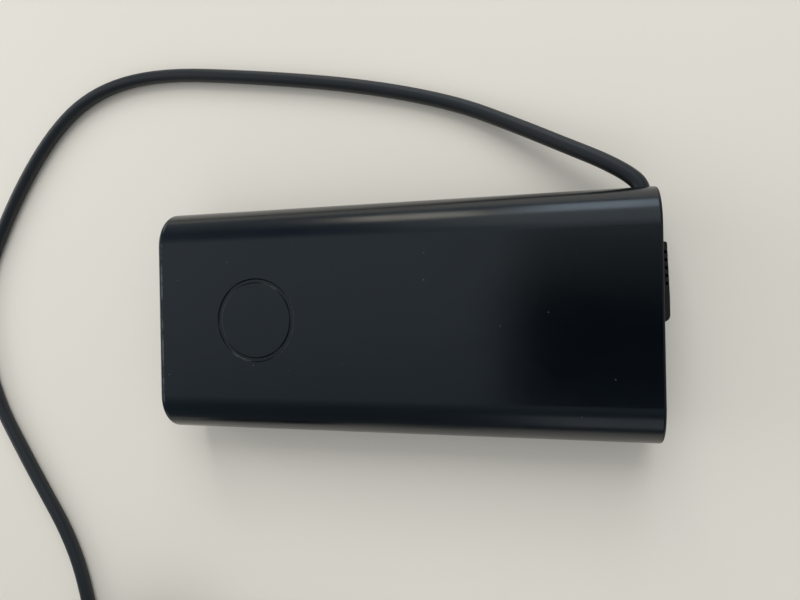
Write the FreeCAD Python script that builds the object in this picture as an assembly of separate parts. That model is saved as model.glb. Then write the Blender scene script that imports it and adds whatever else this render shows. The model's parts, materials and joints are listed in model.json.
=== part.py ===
# Slim laptop power adapter: a two-part housing with its electronics, a rubber strap and a coiled output cord.
# Millimetres. +X points to the end with the strap, +Y to the long side that the cord leaves, +Z up.
# The origin is the middle of the flat underside.

import FreeCAD, Part
import math
import os

V = FreeCAD.Vector

# Housing: a full stadium section with flat ends
body_length = 143.0
body_width = 67.0
body_height = 22.0
wall = 2.0
end_wall = 2.0
rim_round = 0.8
lap_height = 1.5
lap_thickness = 0.9
fit_gap = 0.1

# Ring on the top face
ring_centre_x = -39.2
ring_outer_radius = 12.1
ring_groove_width = 1.2
ring_groove_depth = 0.4

# Output cord and its way out, near the corner of the far long side
cord_diameter = 4.3
cord_length = 1800.0
exit_from_end = 3.3
exit_gap = 0.25
scoop_radius = 2.7
scoop_lean_deg = 44.0
pocket_wall = 1.0
gland_width = 7.0
gland_length = 10.0
gland_height = 9.0
gland_setback = 3.7
gland_gap = 0.2
gland_corner = 1.0
cradle_inset = 1.0

# Rubber strap, folded against the end at rest, and its anchor in the end wall
strap_width = 11.0
strap_length = 18.0
strap_root_thickness = 1.8
strap_tip_thickness = 1.2
strap_thick_length = 4.7
strap_wall_gap = 0.2
strap_root_gap = 0.3
strap_ribs = 5
strap_rib_pitch = 2.0
strap_first_rib = 8.0
strap_rib_radius = 0.55
strap_rib_offset = 0.17
strap_tip_corner = 0.42
anchor_half_width = 3.4
anchor_flange = 1.6
anchor_flange_thickness = 2.0
anchor_lip_cut = 0.7

# Mains inlet, three round pins in a three-lobed socket
lobe_radius = 4.3
pin_spread = 8.2
pin_offset = 2.3
inlet_wall = 1.2
inlet_depth = 12.0
inlet_back = 2.9
inlet_shoulder = 1.0
inlet_cover_gap = 0.2
inlet_corner = 2.2
pin_radius = 1.1
pin_reach = 9.3
pin_bend_step = 1.9

# Circuit board on four posts, with metal sheets along both covers
board_rise = 3.0
board_thickness = 1.6
board_side_room = 6.5
board_left_room = 0.6
board_right_room = 4.7
post_radius = 2.2
post_pin_radius = 1.2
post_pin_height = 2.6
post_from_left = 6.0
post_from_right = 4.0
post_from_side = 3.0
sheet_width = 40.0
sheet_from_left = 6.0
sheet_from_right = 2.0
spreader_thickness = 0.5
film_thickness = 0.3
seat_gap = 0.3
pad_thickness = 0.9

# Large parts on the board: the capacitor takes the length between the choke and the transformer
bulk_from_choke = 3.4
bulk_from_core = 2.0
bulk_from_side = 13.0
bulk_edge = 0.8
bulk_groove_at = 3.0
bulk_groove_half = 0.6
bulk_groove_depth = 0.7
notch_gap = 0.7
core_from_cans = 2.5
transformer_y = 4.0
core_length = 26.0
core_width = 14.0
core_plate = 2.2
core_side = 3.2
core_leg = 8.6
winding_width = 21.0
winding_corner = 4.0
bobbin_wall = 0.7
bobbin_margin = 0.5
choke_from_left = 20.0
choke_y = -3.0
choke_outer_radius = 8.6
choke_inner_radius = 4.6
choke_top_room = 1.0
choke_wire = 1.3
sink_thickness = 1.5
sink_from_side = 5.0
sink_flange = 9.0
primary_sink_insets = (4.0, 2.0)
output_sink_from_right = (20.0, 7.0)
pad_inset = 1.0
package_width = 10.0
package_depth = 4.4
package_stand = 1.0
package_top_room = 1.6
leg_pitch = 2.5
leg_width = 0.8
leg_setback = 1.5

# Small parts on the board
fuse_from_left = 9.0
fuse_from_side = 9.0
fuse_radius = 2.6
fuse_length = 9.0
fuse_cap = 2.2
fuse_cap_step = 0.3
film_capacitor_from_left = 6.0
film_capacitor_length = 17.5
film_capacitor_width = 8.5
film_capacitor_from_side = 16.0
film_capacitor_top_room = 0.2
film_capacitor_corner = 0.8
bridge_from_left = 10.0
bridge_length = 15.0
bridge_from_side = 1.0
bridge_depth = 3.2
bridge_stand = 1.5
bridge_top_room = 1.3
bridge_leg_width = 1.0
bridge_leg_steps = (2.0, 6.0, 9.0, 13.0)
disc_radius = 4.0
disc_thickness = 3.4
disc_steps = (-10.0, 0.0)
disc_from_side = 6.0
coupler_step = -13.0
coupler_length = 6.5
coupler_from_side = 7.0
coupler_width = 4.6
coupler_height = 3.5
coupler_stand = 0.4
coupler_foot_width = 0.6
coupler_foot_length = 1.0
coupler_foot_height = 1.6
control_inset = 6.0
control_from_sink = 4.0
control_thickness = 1.0
control_top_room = 1.8
can_radius = 4.0
can_top_room = 0.3
can_groove_at = 1.7
can_groove_half = 0.5
can_groove_depth = 0.4
can_row_count = 3
can_row_pitch = 9.5
can_row_from_sink = 2.5
drum_from_right = 6.0
drum_from_row = 0.7
drum_step = 10.5
drum_radius = 4.8
drum_height = 9.0
drum_flange = 1.4
drum_waist_step = 0.6
wire_radius = 0.9
wire_half_pitch = 1.3
wire_from_exit = 1.2
wire_from_right = 3.0
wire_y = 14.0

# Coil of the length that is put away, in four layers of two turns
coil_layers = 4
turns_per_layer = 2
coil_gap = 0.55
coil_from_exit = 183.2
coil_from_side = 159.5
coil_approach = 11.0
tie_width = 8.0
tie_thickness = 0.6
tie_gap = 0.3

# Output plug: a straight coaxial plug in a moulded grip
plug_grip_radius = 5.4
plug_grip_length = 24.0
plug_relief_length = 16.0
plug_relief_radius = 3.3
plug_relief_collar = 0.6
plug_relief_straight = 1.6
plug_slots = 5
plug_slot_first = 2.0
plug_slot_pitch = 2.6
plug_slot_width = 1.1
plug_slot_floor = 0.3
plug_shoulder_step = 0.9
plug_shoulder_run = 2.5
plug_front_run = 4.0
plug_front_bend = 1.2
plug_front_steps = (0.5, 1.2)
plug_seat_depth = 5.0
barrel_flange_step = 0.45
plug_press_gap = 0.05
barrel_radius = 2.75
barrel_wall = 0.35
barrel_length = 9.5
contact_bore_radius = 1.25
contact_wall = 0.3
contact_setback = 0.5

# What follows from the sizes above
half_length = body_length / 2
half_width = body_width / 2
middle_z = body_height / 2
inner_x = half_length - end_wall
inner_y = half_width - wall
floor_z = wall
ceiling_z = body_height - wall
cord_radius = cord_diameter / 2
exit_x = half_length - exit_from_end
gland_face_y = half_width - gland_setback
board_z = floor_z + board_rise
board_top = board_z + board_thickness
spreader_z = ceiling_z - fit_gap - spreader_thickness
pad_z = spreader_z - fit_gap - pad_thickness
headroom = pad_z - board_top
lower_sheets_top = floor_z + spreader_thickness + film_thickness
bulk_radius = (spreader_z - lower_sheets_top) / 2 - seat_gap
choke_height = headroom - choke_top_room - 2 * choke_wire - 2 * fit_gap
package_height = headroom - package_stand - package_top_room
pivot_x = half_length + strap_wall_gap
inlet_half_width = pin_spread / 2 + lobe_radius + inlet_wall
inlet_half_height = pin_offset + lobe_radius + inlet_wall
inlet_back_x = -half_length + inlet_depth + inlet_back
board_left = inlet_back_x + board_left_room
board_right = exit_x - gland_width / 2 - board_right_room
board_half = half_width - board_side_room
post_xs = (board_left + post_from_left, board_right - post_from_right)
post_y = board_half - post_from_side
choke_x = board_left + choke_from_left
sink_y = -board_half + sink_from_side
drum_x = board_right - drum_from_right
can_row_x = drum_x - drum_radius - drum_from_row - can_radius
can_row_y = sink_y + sink_flange + can_row_from_sink + can_radius
drum_y = can_row_y + drum_step
transformer_x = can_row_x - can_radius - core_from_cans - core_length / 2
bulk_left = choke_x + choke_outer_radius + bulk_from_choke
bulk_right = transformer_x - core_length / 2 - bulk_from_core
bulk_length = bulk_right - bulk_left
bulk_y = board_half - bulk_from_side
primary_sink_span = (bulk_left + primary_sink_insets[0], bulk_right - primary_sink_insets[1])
output_sink_span = (board_right - output_sink_from_right[0], board_right - output_sink_from_right[1])
sheet_left = board_left + sheet_from_left
sheet_right = board_right - sheet_from_right
layer_pitch = cord_diameter + coil_gap
turn_pitch = cord_diameter + coil_gap
coil_turns = coil_layers * turns_per_layer
coil_bottom = tie_thickness + tie_gap
coil_first_z = coil_bottom + cord_radius
coil_last_z = coil_first_z + (coil_layers - 1) * layer_pitch
plug_z = plug_grip_radius

# The cord's free stretch, chosen by hand: along X from the exit and along Y from the housing's side,
# with its height as a share of the exit's height over the table
cord_way = [
    (0.0, -gland_setback, 1.0),
    (0.0, 0.1, 1.0),
    (-3.5, 3.9, 0.94),
    (-9.2, 8.0, 0.8),
    (-18.7, 13.3, 0.525),
    (-32.7, 21.3, 0.21),
    (-51.2, 30.7, 0.0),
    (-80.2, 38.9, 0.0),
    (-116.2, 45.5, 0.0),
    (-154.2, 51.0, 0.0),
    (-180.2, 46.7, 0.0),
    (-198.7, 32.5, 0.0),
    (-217.2, 7.5, 0.0),
    (-232.2, -23.5, 0.0),
    (-228.2, -57.0, 0.0),
    (-208.7, -88.0, 0.0),
    (-191.2, -113.5, 0.0),
    (-184.2, -138.0, 0.0),
]
cord_route = [(exit_x + x, half_width + y, cord_radius + share * (middle_z - cord_radius))
              for x, y, share in cord_way]
coil_start = (exit_x - coil_from_exit, half_width - coil_from_side, coil_first_z)
cord_route += [(coil_start[0], coil_start[1] + coil_approach, coil_first_z), coil_start]

# The short tail, also by hand: from where the coil lets go of the cord, with its height as a share
# of the coil's last layer over the plug
tail_way = [
    (0.0, 0.0, 1.0),
    (0.0, -6.0, 1.0),
    (2.4, -15.2, 1.0),
    (9.8, -23.0, 1.0),
    (22.5, -26.9, 1.0),
    (42.7, -26.3, 0.86),
    (58.7, -23.0, 0.35),
    (72.0, -18.2, 0.0),
    (82.0, -18.2, 0.0),
]
tail_route = [(coil_start[0] + x, coil_start[1] - 2 * cord_diameter + y,
               plug_z + share * (coil_last_z - plug_z)) for x, y, share in tail_way]


# Small helpers

def box(x0, x1, y0, y1, z0, z1):
    return Part.makeBox(x1 - x0, y1 - y0, z1 - z0, V(x0, y0, z0))


def rod(radius, length, start, direction):
    return Part.makeCylinder(radius, length, start, direction)


def joined(shapes):
    whole = shapes[0].multiFuse(shapes[1:])
    return whole.removeSplitter()


def edges_along(shape, direction):
    found = []
    for edge in shape.Edges:
        if edge.Curve.TypeId != "Part::GeomLine":
            continue
        run = edge.Vertexes[-1].Point - edge.Vertexes[0].Point
        if run.Length > 0 and run.cross(direction).Length < 1e-6 * run.Length:
            found.append(edge)
    return found


def rounded_box(x0, x1, y0, y1, z0, z1, radius, direction):
    block = box(x0, x1, y0, y1, z0, z1)
    return block.makeFillet(radius, edges_along(block, direction))


def prism(points, z0, z1):
    corners = [V(x, y, z0) for x, y in points]
    face = Part.Face(Part.makePolygon(corners + corners[:1]))
    return face.extrude(V(0, 0, z1 - z0))


def turned(profile, origin, axis, side):
    """A solid turned about axis, from a profile of (along, radius) points."""
    corners = [origin + axis * along + side * radius for along, radius in profile]
    face = Part.Face(Part.makePolygon(corners + corners[:1]))
    return face.revolve(origin, axis, 360)


def stadium_prism(x0, x1, width, height):
    """The housing's section, drawn at x0 and pushed to x1."""
    radius = height / 2
    flat = width / 2 - radius
    top, low = middle_z + radius, middle_z - radius
    outline = [
        Part.LineSegment(V(x0, -flat, top), V(x0, flat, top)).toShape(),
        Part.Arc(V(x0, flat, top), V(x0, flat + radius, middle_z), V(x0, flat, low)).toShape(),
        Part.LineSegment(V(x0, flat, low), V(x0, -flat, low)).toShape(),
        Part.Arc(V(x0, -flat, low), V(x0, -flat - radius, middle_z), V(x0, -flat, top)).toShape(),
    ]
    return Part.Face(Part.Wire(outline)).extrude(V(x1 - x0, 0, 0))


# Cord tubes

def corner_arcs(points):
    """Straight runs joined by tangent arcs, each as large as its two runs allow."""
    points = [V(*point) for point in points]
    edges = []
    radii = []
    start = points[0]
    for before, corner, after in zip(points, points[1:], points[2:]):
        into = (corner - before).normalize()
        out = (after - corner).normalize()
        turn = into.getAngle(out)
        shorter = min((corner - before).Length, (after - corner).Length)
        cut = 0.45 * shorter
        radius = cut / math.tan(turn / 2)
        first, last = corner - into * cut, corner + out * cut
        inward = (out - into).normalize()
        middle = corner + inward * (radius / math.cos(turn / 2) - radius)
        edges.append(Part.LineSegment(start, first).toShape())
        edges.append(Part.Arc(first, middle, last).toShape())
        radii.append(radius)
        start = last
    edges.append(Part.LineSegment(start, points[-1]).toShape())
    return edges, radii


def tube(edges, radius):
    path = Part.Wire(edges)
    first = edges[0]
    heading = first.tangentAt(first.FirstParameter)
    section = Part.Wire([Part.Circle(first.Vertexes[0].Point, heading, radius).toShape()])
    solid = path.makePipeShell([section], True, False)
    return solid, path.Length


def report_tube(name, solid, length, radii):
    section = math.pi * cord_radius ** 2
    print(name, "length", round(length, 1), "mm, volume over section times length",
          round(solid.Volume / (section * length), 4), "least radius", round(min(radii), 1))
    print(name, "radii", [round(radius, 1) for radius in radii])


def biarc(p0, t0, p1, t1):
    """Two arcs that leave p0 along t0 and reach p1 along t1."""
    chord = p1 - p0
    both = t0 + t1
    spread = 2 * (1 - t0.dot(t1))
    along = chord.dot(both)
    reach = (-along + math.sqrt(along ** 2 + spread * chord.dot(chord))) / spread
    joint = (p0 + t0 * reach + p1 - t1 * reach) * 0.5
    return [arc_leaving(p0, t0, joint), arc_leaving(p1, t1 * -1, joint)]


def arc_leaving(start, heading, end):
    chord = end - start
    across = chord * (1 / chord.Length)
    side = heading - across * heading.dot(across)
    bulge = side.normalize() * (chord.Length / 2 * math.tan(heading.getAngle(chord) / 2))
    return start, start + chord * 0.5 + bulge, end


# The cord's lengths: what the free stretches leave goes into the coil, which sets its size
run_edges, run_radii = corner_arcs(cord_route)
tail_edges, tail_radii = corner_arcs(tail_route)
coil_ends = 2 * cord_diameter
coil_length = cord_length - Part.Wire(run_edges).Length - Part.Wire(tail_edges).Length
coil_mean_radius = (coil_length - coil_ends) / (2 * math.pi * coil_turns)
coil_outer_radius = coil_mean_radius + turns_per_layer * turn_pitch / 2
coil_inner_radius = coil_mean_radius - turns_per_layer * turn_pitch / 2
coil_x = coil_start[0] + coil_outer_radius
coil_y = coil_start[1] - cord_diameter


def coil_point(turn):
    """The coil's centre line: in and out at a steady rate, one layer up where it reverses."""
    folded = turn % (2 * turns_per_layer)
    inward = turns_per_layer - abs(folded - turns_per_layer)
    radius = coil_outer_radius - turn_pitch * inward
    climbed = 0.0
    for layer in range(1, coil_layers):
        share = min(max((turn - layer * turns_per_layer) / 0.5 + 0.5, 0.0), 1.0)
        climbed += share * share * (3 - 2 * share)
    angle = math.pi + 2 * math.pi * turn
    return V(coil_x + radius * math.cos(angle), coil_y + radius * math.sin(angle),
             coil_first_z + climbed * layer_pitch)


def coil_heading(turn):
    if turn <= 0 or turn >= coil_turns:
        return V(0, -1, 0)
    step = 0.01
    return (coil_point(turn + step) - coil_point(turn - step)).normalize()


def make_coil():
    quarters = 4 * coil_turns
    start, end = coil_point(0), coil_point(coil_turns)
    lead = V(0, cord_diameter, 0)
    edges = [Part.LineSegment(start + lead, start).toShape()]
    for quarter in range(quarters):
        a, b = quarter / 4, (quarter + 1) / 4
        for p, q, r in biarc(coil_point(a), coil_heading(a), coil_point(b), coil_heading(b)):
            edges.append(Part.Arc(p, q, r).toShape())
    edges.append(Part.LineSegment(end, end - lead).toShape())
    path = Part.Wire(Part.__sortEdges__(edges))
    section = Part.Wire([Part.Circle(start + lead, V(0, -1, 0), cord_radius).toShape()])
    solid = path.makePipeShell([section], True, False)
    print("coil length", round(path.Length, 1), "volume over section times length",
          round(solid.Volume / (math.pi * cord_radius ** 2 * path.Length), 4))
    print("coil radii", round(coil_inner_radius, 2), "to", round(coil_outer_radius, 2),
          "mean diameter", round(2 * coil_mean_radius / cord_diameter, 2), "cord diameters")
    print("coil least gap to itself", round(least_gap(path), 2), "mm")
    return solid


def least_gap(path):
    """The least clear distance between stretches of the coil that aren't neighbours along it."""
    count = 700
    points = path.discretize(count)
    apart = int(4 * cord_diameter / (path.Length / count))
    nearest = min((a - b).Length
                  for i, a in enumerate(points)
                  for b in points[i + apart:])
    return nearest - cord_diameter


# Housing

def housing_block():
    block = stadium_prism(-half_length, half_length, body_width, body_height)
    rims = [edge for edge in block.Edges
            if all(abs(abs(vertex.X) - half_length) < 1e-6 for vertex in edge.Vertexes)
            and abs(edge.Vertexes[0].X - edge.Vertexes[-1].X) < 1e-6]
    return block.makeFillet(rim_round, rims)


def inner_block():
    return stadium_prism(-inner_x, inner_x, body_width - 2 * wall, body_height - 2 * wall)


def lap_frame(outer_gap, height):
    """The tongue of the lap joint, grown by outer_gap where it has to clear, open at the cord's corner."""
    reach = lap_thickness + outer_gap
    corner = box(exit_x - 2 * gland_width + outer_gap, half_length, gland_face_y - gland_length - wall
                 + outer_gap, half_width, middle_z - 1, middle_z + height + 1)
    outside = box(-inner_x - reach, inner_x + reach, -inner_y - reach, inner_y + reach,
                  middle_z, middle_z + height)
    inside = box(-inner_x, inner_x, -inner_y, inner_y, middle_z - 1, middle_z + height + 1)
    return outside.cut(inside).cut(corner)


def exit_mouth():
    """The cord's hole in the long side, with a scoop on the side that the cord bends to."""
    lean = math.radians(scoop_lean_deg)
    bore = rod(cord_radius + exit_gap, half_width, V(exit_x, gland_face_y, middle_z), V(0, 1, 0))
    scoop_start = V(exit_x, inner_y + gland_gap, middle_z)
    scoop = rod(scoop_radius, 3 * wall, scoop_start, V(-math.sin(lean), math.cos(lean), 0))
    return joined([bore, scoop])


def gland_pocket():
    face = half_length - pocket_wall
    half = gland_height / 2 + gland_gap
    back = gland_face_y - gland_length - gland_gap
    return box(inner_x - 1, face, back, gland_face_y + gland_gap, middle_z - half, middle_z + half)


def inlet_front(grow):
    wide = inlet_half_width + grow
    high = inlet_half_height + grow
    return rounded_box(-half_length, -inner_x + 1, -wide, wide, middle_z - high, middle_z + high,
                       inlet_corner + grow, V(1, 0, 0))


def anchor_slot(grow):
    wide = anchor_half_width + grow
    high = strap_width / 2 + strap_root_gap + grow
    return box(inner_x - 1, half_length, -wide, wide, middle_z - high, middle_z + high)


def all_openings():
    mouth = inlet_front(fit_gap)
    slot = anchor_slot(fit_gap)
    through = V(wall / 2, 0, 0)
    return [mouth.fuse(mouth.translated(through * -1)), slot.fuse(slot.translated(through)),
            exit_mouth(), gland_pocket()]


def post_places():
    return [(x, side * post_y) for x in post_xs for side in (-1, 1)]


def make_bottom_cover():
    shell = housing_block().cut(inner_block())
    half = shell.common(box(-half_length, half_length, -half_width, half_width, 0, middle_z))
    cover = joined([half, lap_frame(0, lap_height)])
    root = wall / 2
    posts = []
    for x, y in post_places():
        posts.append(rod(post_radius, board_z - root, V(x, y, root), V(0, 0, 1)))
        posts.append(rod(post_pin_radius, post_pin_height + root, V(x, y, board_z - root), V(0, 0, 1)))
    cradle = box(exit_x - gland_width / 2, inner_x, gland_face_y - gland_length + cradle_inset,
                 gland_face_y - cradle_inset, root, middle_z - gland_height / 2 - gland_gap)
    cover = joined([cover] + posts + [cradle])
    inside = stadium_prism(-half_length, half_length, body_width - wall, body_height - wall)
    cover = cover.common(joined([inside, half, lap_frame(0, lap_height)]))
    for opening in all_openings():
        cover = cover.cut(opening)
    return cover


def make_top_cover():
    shell = housing_block().cut(inner_block())
    cover = shell.common(box(-half_length, half_length, -half_width, half_width, middle_z, body_height))
    cover = cover.cut(lap_frame(fit_gap, lap_height + fit_gap))
    ring_base = V(ring_centre_x, 0, body_height - ring_groove_depth)
    ring = rod(ring_outer_radius, wall, ring_base, V(0, 0, 1))
    ring = ring.cut(rod(ring_outer_radius - ring_groove_width, wall, ring_base, V(0, 0, 1)))
    cover = cover.cut(ring)
    posts = []
    socket_depth = post_pin_height - board_thickness + fit_gap
    for x, y in post_places():
        low = board_top + fit_gap
        post = rod(post_radius, ceiling_z + wall / 2 - low, V(x, y, low), V(0, 0, 1))
        socket = rod(post_pin_radius + fit_gap, socket_depth, V(x, y, low), V(0, 0, 1))
        posts.append(post.cut(socket))
    inside = stadium_prism(-half_length, half_length, body_width - wall, body_height - wall)
    cover = joined([cover] + [post.common(inside) for post in posts])
    for opening in all_openings():
        cover = cover.cut(opening)
    return cover


# Cord exit and strap

def make_cord_gland():
    half = gland_height / 2
    back = gland_face_y - gland_length
    left = exit_x - gland_width / 2 + gland_gap
    right = half_length - pocket_wall - gland_gap
    return rounded_box(left, right, back, gland_face_y, middle_z - half, middle_z + half,
                       gland_corner, V(0, 1, 0))


def make_strap_anchor():
    high = strap_width / 2 + strap_root_gap
    wide = anchor_half_width
    neck = box(inner_x - 1, half_length, -wide, wide, middle_z - high, middle_z + high)
    flange_face = inner_x - fit_gap
    flange = box(flange_face - anchor_flange_thickness, flange_face, -wide - anchor_flange,
                 wide + anchor_flange, middle_z - high - anchor_flange, middle_z + high + anchor_flange)
    socket = rod(strap_root_thickness + strap_root_gap, body_height, V(pivot_x, 0, 0), V(0, 0, 1))
    lip_y = -strap_root_thickness - strap_root_gap
    beyond, under = half_length + fit_gap, lip_y + strap_root_gap
    lip = prism([(beyond, under), (half_length - anchor_lip_cut, under), (beyond, lip_y - anchor_lip_cut)],
                0, body_height)
    return joined([neck, flange]).cut(socket).cut(lip)


def make_cable_strap():
    low, high = middle_z - strap_width / 2, middle_z + strap_width / 2
    root_face = pivot_x + strap_root_thickness
    tip_face = pivot_x + strap_tip_thickness
    blade = prism([(pivot_x, 0), (root_face, 0), (root_face, strap_thick_length),
                   (tip_face, strap_length), (pivot_x, strap_length)], low, high)
    blade = blade.makeFillet(strap_tip_corner, tip_edges(blade))
    root = rod(strap_root_thickness, strap_width, V(pivot_x, 0, low), V(0, 0, 1))
    strap = joined([blade, root])
    taper = (root_face - tip_face) / (strap_length - strap_thick_length)
    for rib in range(strap_ribs):
        y = strap_first_rib + rib * strap_rib_pitch
        x = root_face - taper * (y - strap_thick_length) + strap_rib_offset
        strap = strap.cut(rod(strap_rib_radius, strap_width, V(x, y, low), V(0, 0, 1)))
    return strap


def tip_edges(blade):
    return [edge for edge in edges_along(blade, V(0, 0, 1))
            if abs(edge.Vertexes[0].Y - strap_length) < 1e-6]


# Mains inlet

def pin_centres():
    return [(-pin_spread / 2, middle_z - pin_offset), (pin_spread / 2, middle_z - pin_offset),
            (0.0, middle_z + pin_offset)]


def make_mains_inlet():
    front = inlet_front(0)
    wide = inlet_half_width + inlet_shoulder
    high = ceiling_z - inlet_cover_gap - middle_z
    shoulder = rounded_box(-inner_x + fit_gap, inlet_back_x, -wide, wide, middle_z - high,
                           middle_z + high, inlet_corner, V(1, 0, 0))
    body = joined([front, shoulder])
    lobes = [rod(lobe_radius, inlet_depth, V(-half_length, y, z), V(1, 0, 0)) for y, z in pin_centres()]
    lobes.append(prism([(-half_length, -pin_spread / 2), (-half_length + inlet_depth, -pin_spread / 2),
                        (-half_length + inlet_depth, pin_spread / 2), (-half_length, pin_spread / 2)],
                       middle_z - pin_offset - lobe_radius / 2, middle_z + pin_offset - lobe_radius / 2))
    body = body.cut(joined(lobes))
    for y, z in pin_centres():
        body = body.cut(rod(pin_radius + fit_gap, inlet_back * 2, V(-half_length + inlet_depth - 1, y, z),
                            V(1, 0, 0)))
    return body


def make_inlet_pins():
    """Each pin runs back through the inlet and turns down to the board."""
    pins = []
    tip_x = -half_length + inlet_depth - pin_reach
    for index, (y, z) in enumerate(pin_centres()):
        bend_x = inlet_back_x + (pin_bend_step if index < 2 else 2 * pin_bend_step + pin_radius)
        shaft = rod(pin_radius, bend_x - tip_x, V(tip_x, y, z), V(1, 0, 0))
        tip = Part.makeSphere(pin_radius, V(tip_x, y, z))
        elbow = Part.makeSphere(pin_radius, V(bend_x, y, z))
        tail = rod(pin_radius, z - board_top, V(bend_x, y, board_top), V(0, 0, 1))
        pins.append(joined([shaft, tip, elbow, tail]))
    return Part.makeCompound(pins)


# Board, sheets and pads

def make_main_board():
    board = box(board_left, board_right, -board_half, board_half, board_z, board_top)
    notch = box(bulk_left - notch_gap, bulk_left + bulk_length + notch_gap,
                bulk_y - bulk_radius - notch_gap, bulk_y + bulk_radius + notch_gap, 0, body_height)
    board = board.cut(notch)
    for x, y in post_places():
        board = board.cut(rod(post_pin_radius + fit_gap, body_height, V(x, y, 0), V(0, 0, 1)))
    return board


def sheet(low, thickness):
    return box(sheet_left, sheet_right, -sheet_width / 2, sheet_width / 2, low, low + thickness)


def make_thermal_pads():
    top = pad_z + pad_thickness
    half_x, half_y = core_length / 2 - pad_inset, core_width / 2 - pad_inset
    pads = [box(transformer_x - half_x, transformer_x + half_x, transformer_y - half_y,
                transformer_y + half_y, pad_z, top)]
    for left, right in (primary_sink_span, output_sink_span):
        pads.append(box(left + pad_inset, right - pad_inset, sink_y + pad_inset,
                        sink_y + sink_flange - pad_inset, pad_z, top))
    return Part.makeCompound(pads)


# Parts on the board

def make_heat_sink(left, right):
    plate = box(left, right, sink_y, sink_y + sink_thickness, board_top, pad_z)
    flange = box(left, right, sink_y, sink_y + sink_flange, pad_z - sink_thickness, pad_z)
    return joined([plate, flange])


def make_package(left, right):
    """A three-legged power package against its heat sink."""
    middle = (left + right) / 2
    face = sink_y + sink_thickness
    low = board_top + package_stand
    body = box(middle - package_width / 2, middle + package_width / 2, face, face + package_depth,
               low, low + package_height)
    legs = [box(middle + step - leg_width / 2, middle + step + leg_width / 2, face + leg_setback,
                face + leg_setback + leg_width, board_top, low + leg_width)
            for step in (-leg_pitch, 0, leg_pitch)]
    return joined([body] + legs)


def make_bulk_capacitor():
    centre = V(bulk_left, bulk_y, lower_sheets_top + seat_gap + bulk_radius)
    profile = [(0, 0), (0, bulk_radius - bulk_edge), (bulk_edge, bulk_radius),
               (bulk_groove_at - bulk_groove_half, bulk_radius),
               (bulk_groove_at, bulk_radius - bulk_groove_depth),
               (bulk_groove_at + bulk_groove_half, bulk_radius), (bulk_length - bulk_edge, bulk_radius),
               (bulk_length, bulk_radius - bulk_edge), (bulk_length, 0)]
    return turned(profile, centre, V(1, 0, 0), V(0, 1, 0))


def core_windows():
    """The two window openings of the transformer's core."""
    low = board_top + bobbin_wall + core_plate
    high = pad_z - core_plate
    leg = core_leg / 2
    side = core_length / 2 - core_side
    y0, y1 = transformer_y - core_width, transformer_y + core_width
    return [box(transformer_x - side, transformer_x - leg, y0, y1, low, high),
            box(transformer_x + leg, transformer_x + side, y0, y1, low, high)]


def make_transformer_core():
    core = box(transformer_x - core_length / 2, transformer_x + core_length / 2,
               transformer_y - core_width / 2, transformer_y + core_width / 2,
               board_top + bobbin_wall, pad_z)
    for window in core_windows():
        core = core.cut(window)
    return core


def make_transformer_winding():
    side = core_length / 2 - core_side - seat_gap
    low = board_top + bobbin_wall + core_plate + bobbin_wall + 2 * fit_gap
    high = pad_z - core_plate - bobbin_wall - 2 * fit_gap
    half = winding_width / 2
    outer = rounded_box(transformer_x - side, transformer_x + side, transformer_y - half,
                        transformer_y + half, low, high, winding_corner, V(0, 0, 1))
    inner_half = core_width / 2 + bobbin_wall + 2 * fit_gap
    inner_side = core_leg / 2 + bobbin_wall + 2 * fit_gap
    return outer.cut(box(transformer_x - inner_side, transformer_x + inner_side,
                         transformer_y - inner_half, transformer_y + inner_half, low - 1, high + 1))


def make_transformer_bobbin():
    """A tube round the centre leg between two flanges, with a pin rail each side on the board."""
    low = board_top + bobbin_wall + core_plate + fit_gap
    high = pad_z - core_plate - fit_gap
    leg = core_leg / 2 + fit_gap
    half_core = core_width / 2 + fit_gap
    side = core_length / 2 - core_side - fit_gap
    half = winding_width / 2 + bobbin_margin
    tube_wall = box(transformer_x - leg - bobbin_wall, transformer_x + leg + bobbin_wall,
                    transformer_y - half_core - bobbin_wall, transformer_y + half_core + bobbin_wall,
                    low, high)
    flanges = [box(transformer_x - side, transformer_x + side, transformer_y - half,
                   transformer_y + half, z, z + bobbin_wall) for z in (low, high - bobbin_wall)]
    rails = [box(transformer_x - side, transformer_x + side, transformer_y + near, transformer_y + far,
                 board_top, low + bobbin_wall)
             for near, far in ((-half, -half_core), (half_core, half))]
    hollow = box(transformer_x - leg, transformer_x + leg, transformer_y - half_core,
                 transformer_y + half_core, 0, body_height)
    return joined([tube_wall] + flanges + rails).cut(hollow)


def make_choke_core():
    low = board_top + choke_wire + fit_gap
    ring = rod(choke_outer_radius - choke_wire, choke_height, V(choke_x, choke_y, low), V(0, 0, 1))
    return ring.cut(rod(choke_inner_radius + choke_wire, choke_height, V(choke_x, choke_y, low), V(0, 0, 1)))


def make_choke_winding():
    """Two windings, one on each side of the ring core."""
    height = choke_height + 2 * choke_wire + 2 * fit_gap
    base = V(choke_x, choke_y, board_top)
    sleeve = rod(choke_outer_radius, height, base, V(0, 0, 1))
    sleeve = sleeve.cut(rod(choke_inner_radius, height, base, V(0, 0, 1)))
    room = rod(choke_outer_radius - choke_wire + fit_gap, choke_height + 2 * fit_gap,
               base + V(0, 0, choke_wire), V(0, 0, 1))
    room = room.cut(rod(choke_inner_radius + choke_wire - fit_gap, choke_height + 2 * fit_gap,
                        base + V(0, 0, choke_wire), V(0, 0, 1)))
    sleeve = sleeve.cut(room)
    gap = choke_inner_radius / 2
    return sleeve.cut(box(choke_x - gap, choke_x + gap, -half_width, half_width, 0, body_height))


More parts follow.
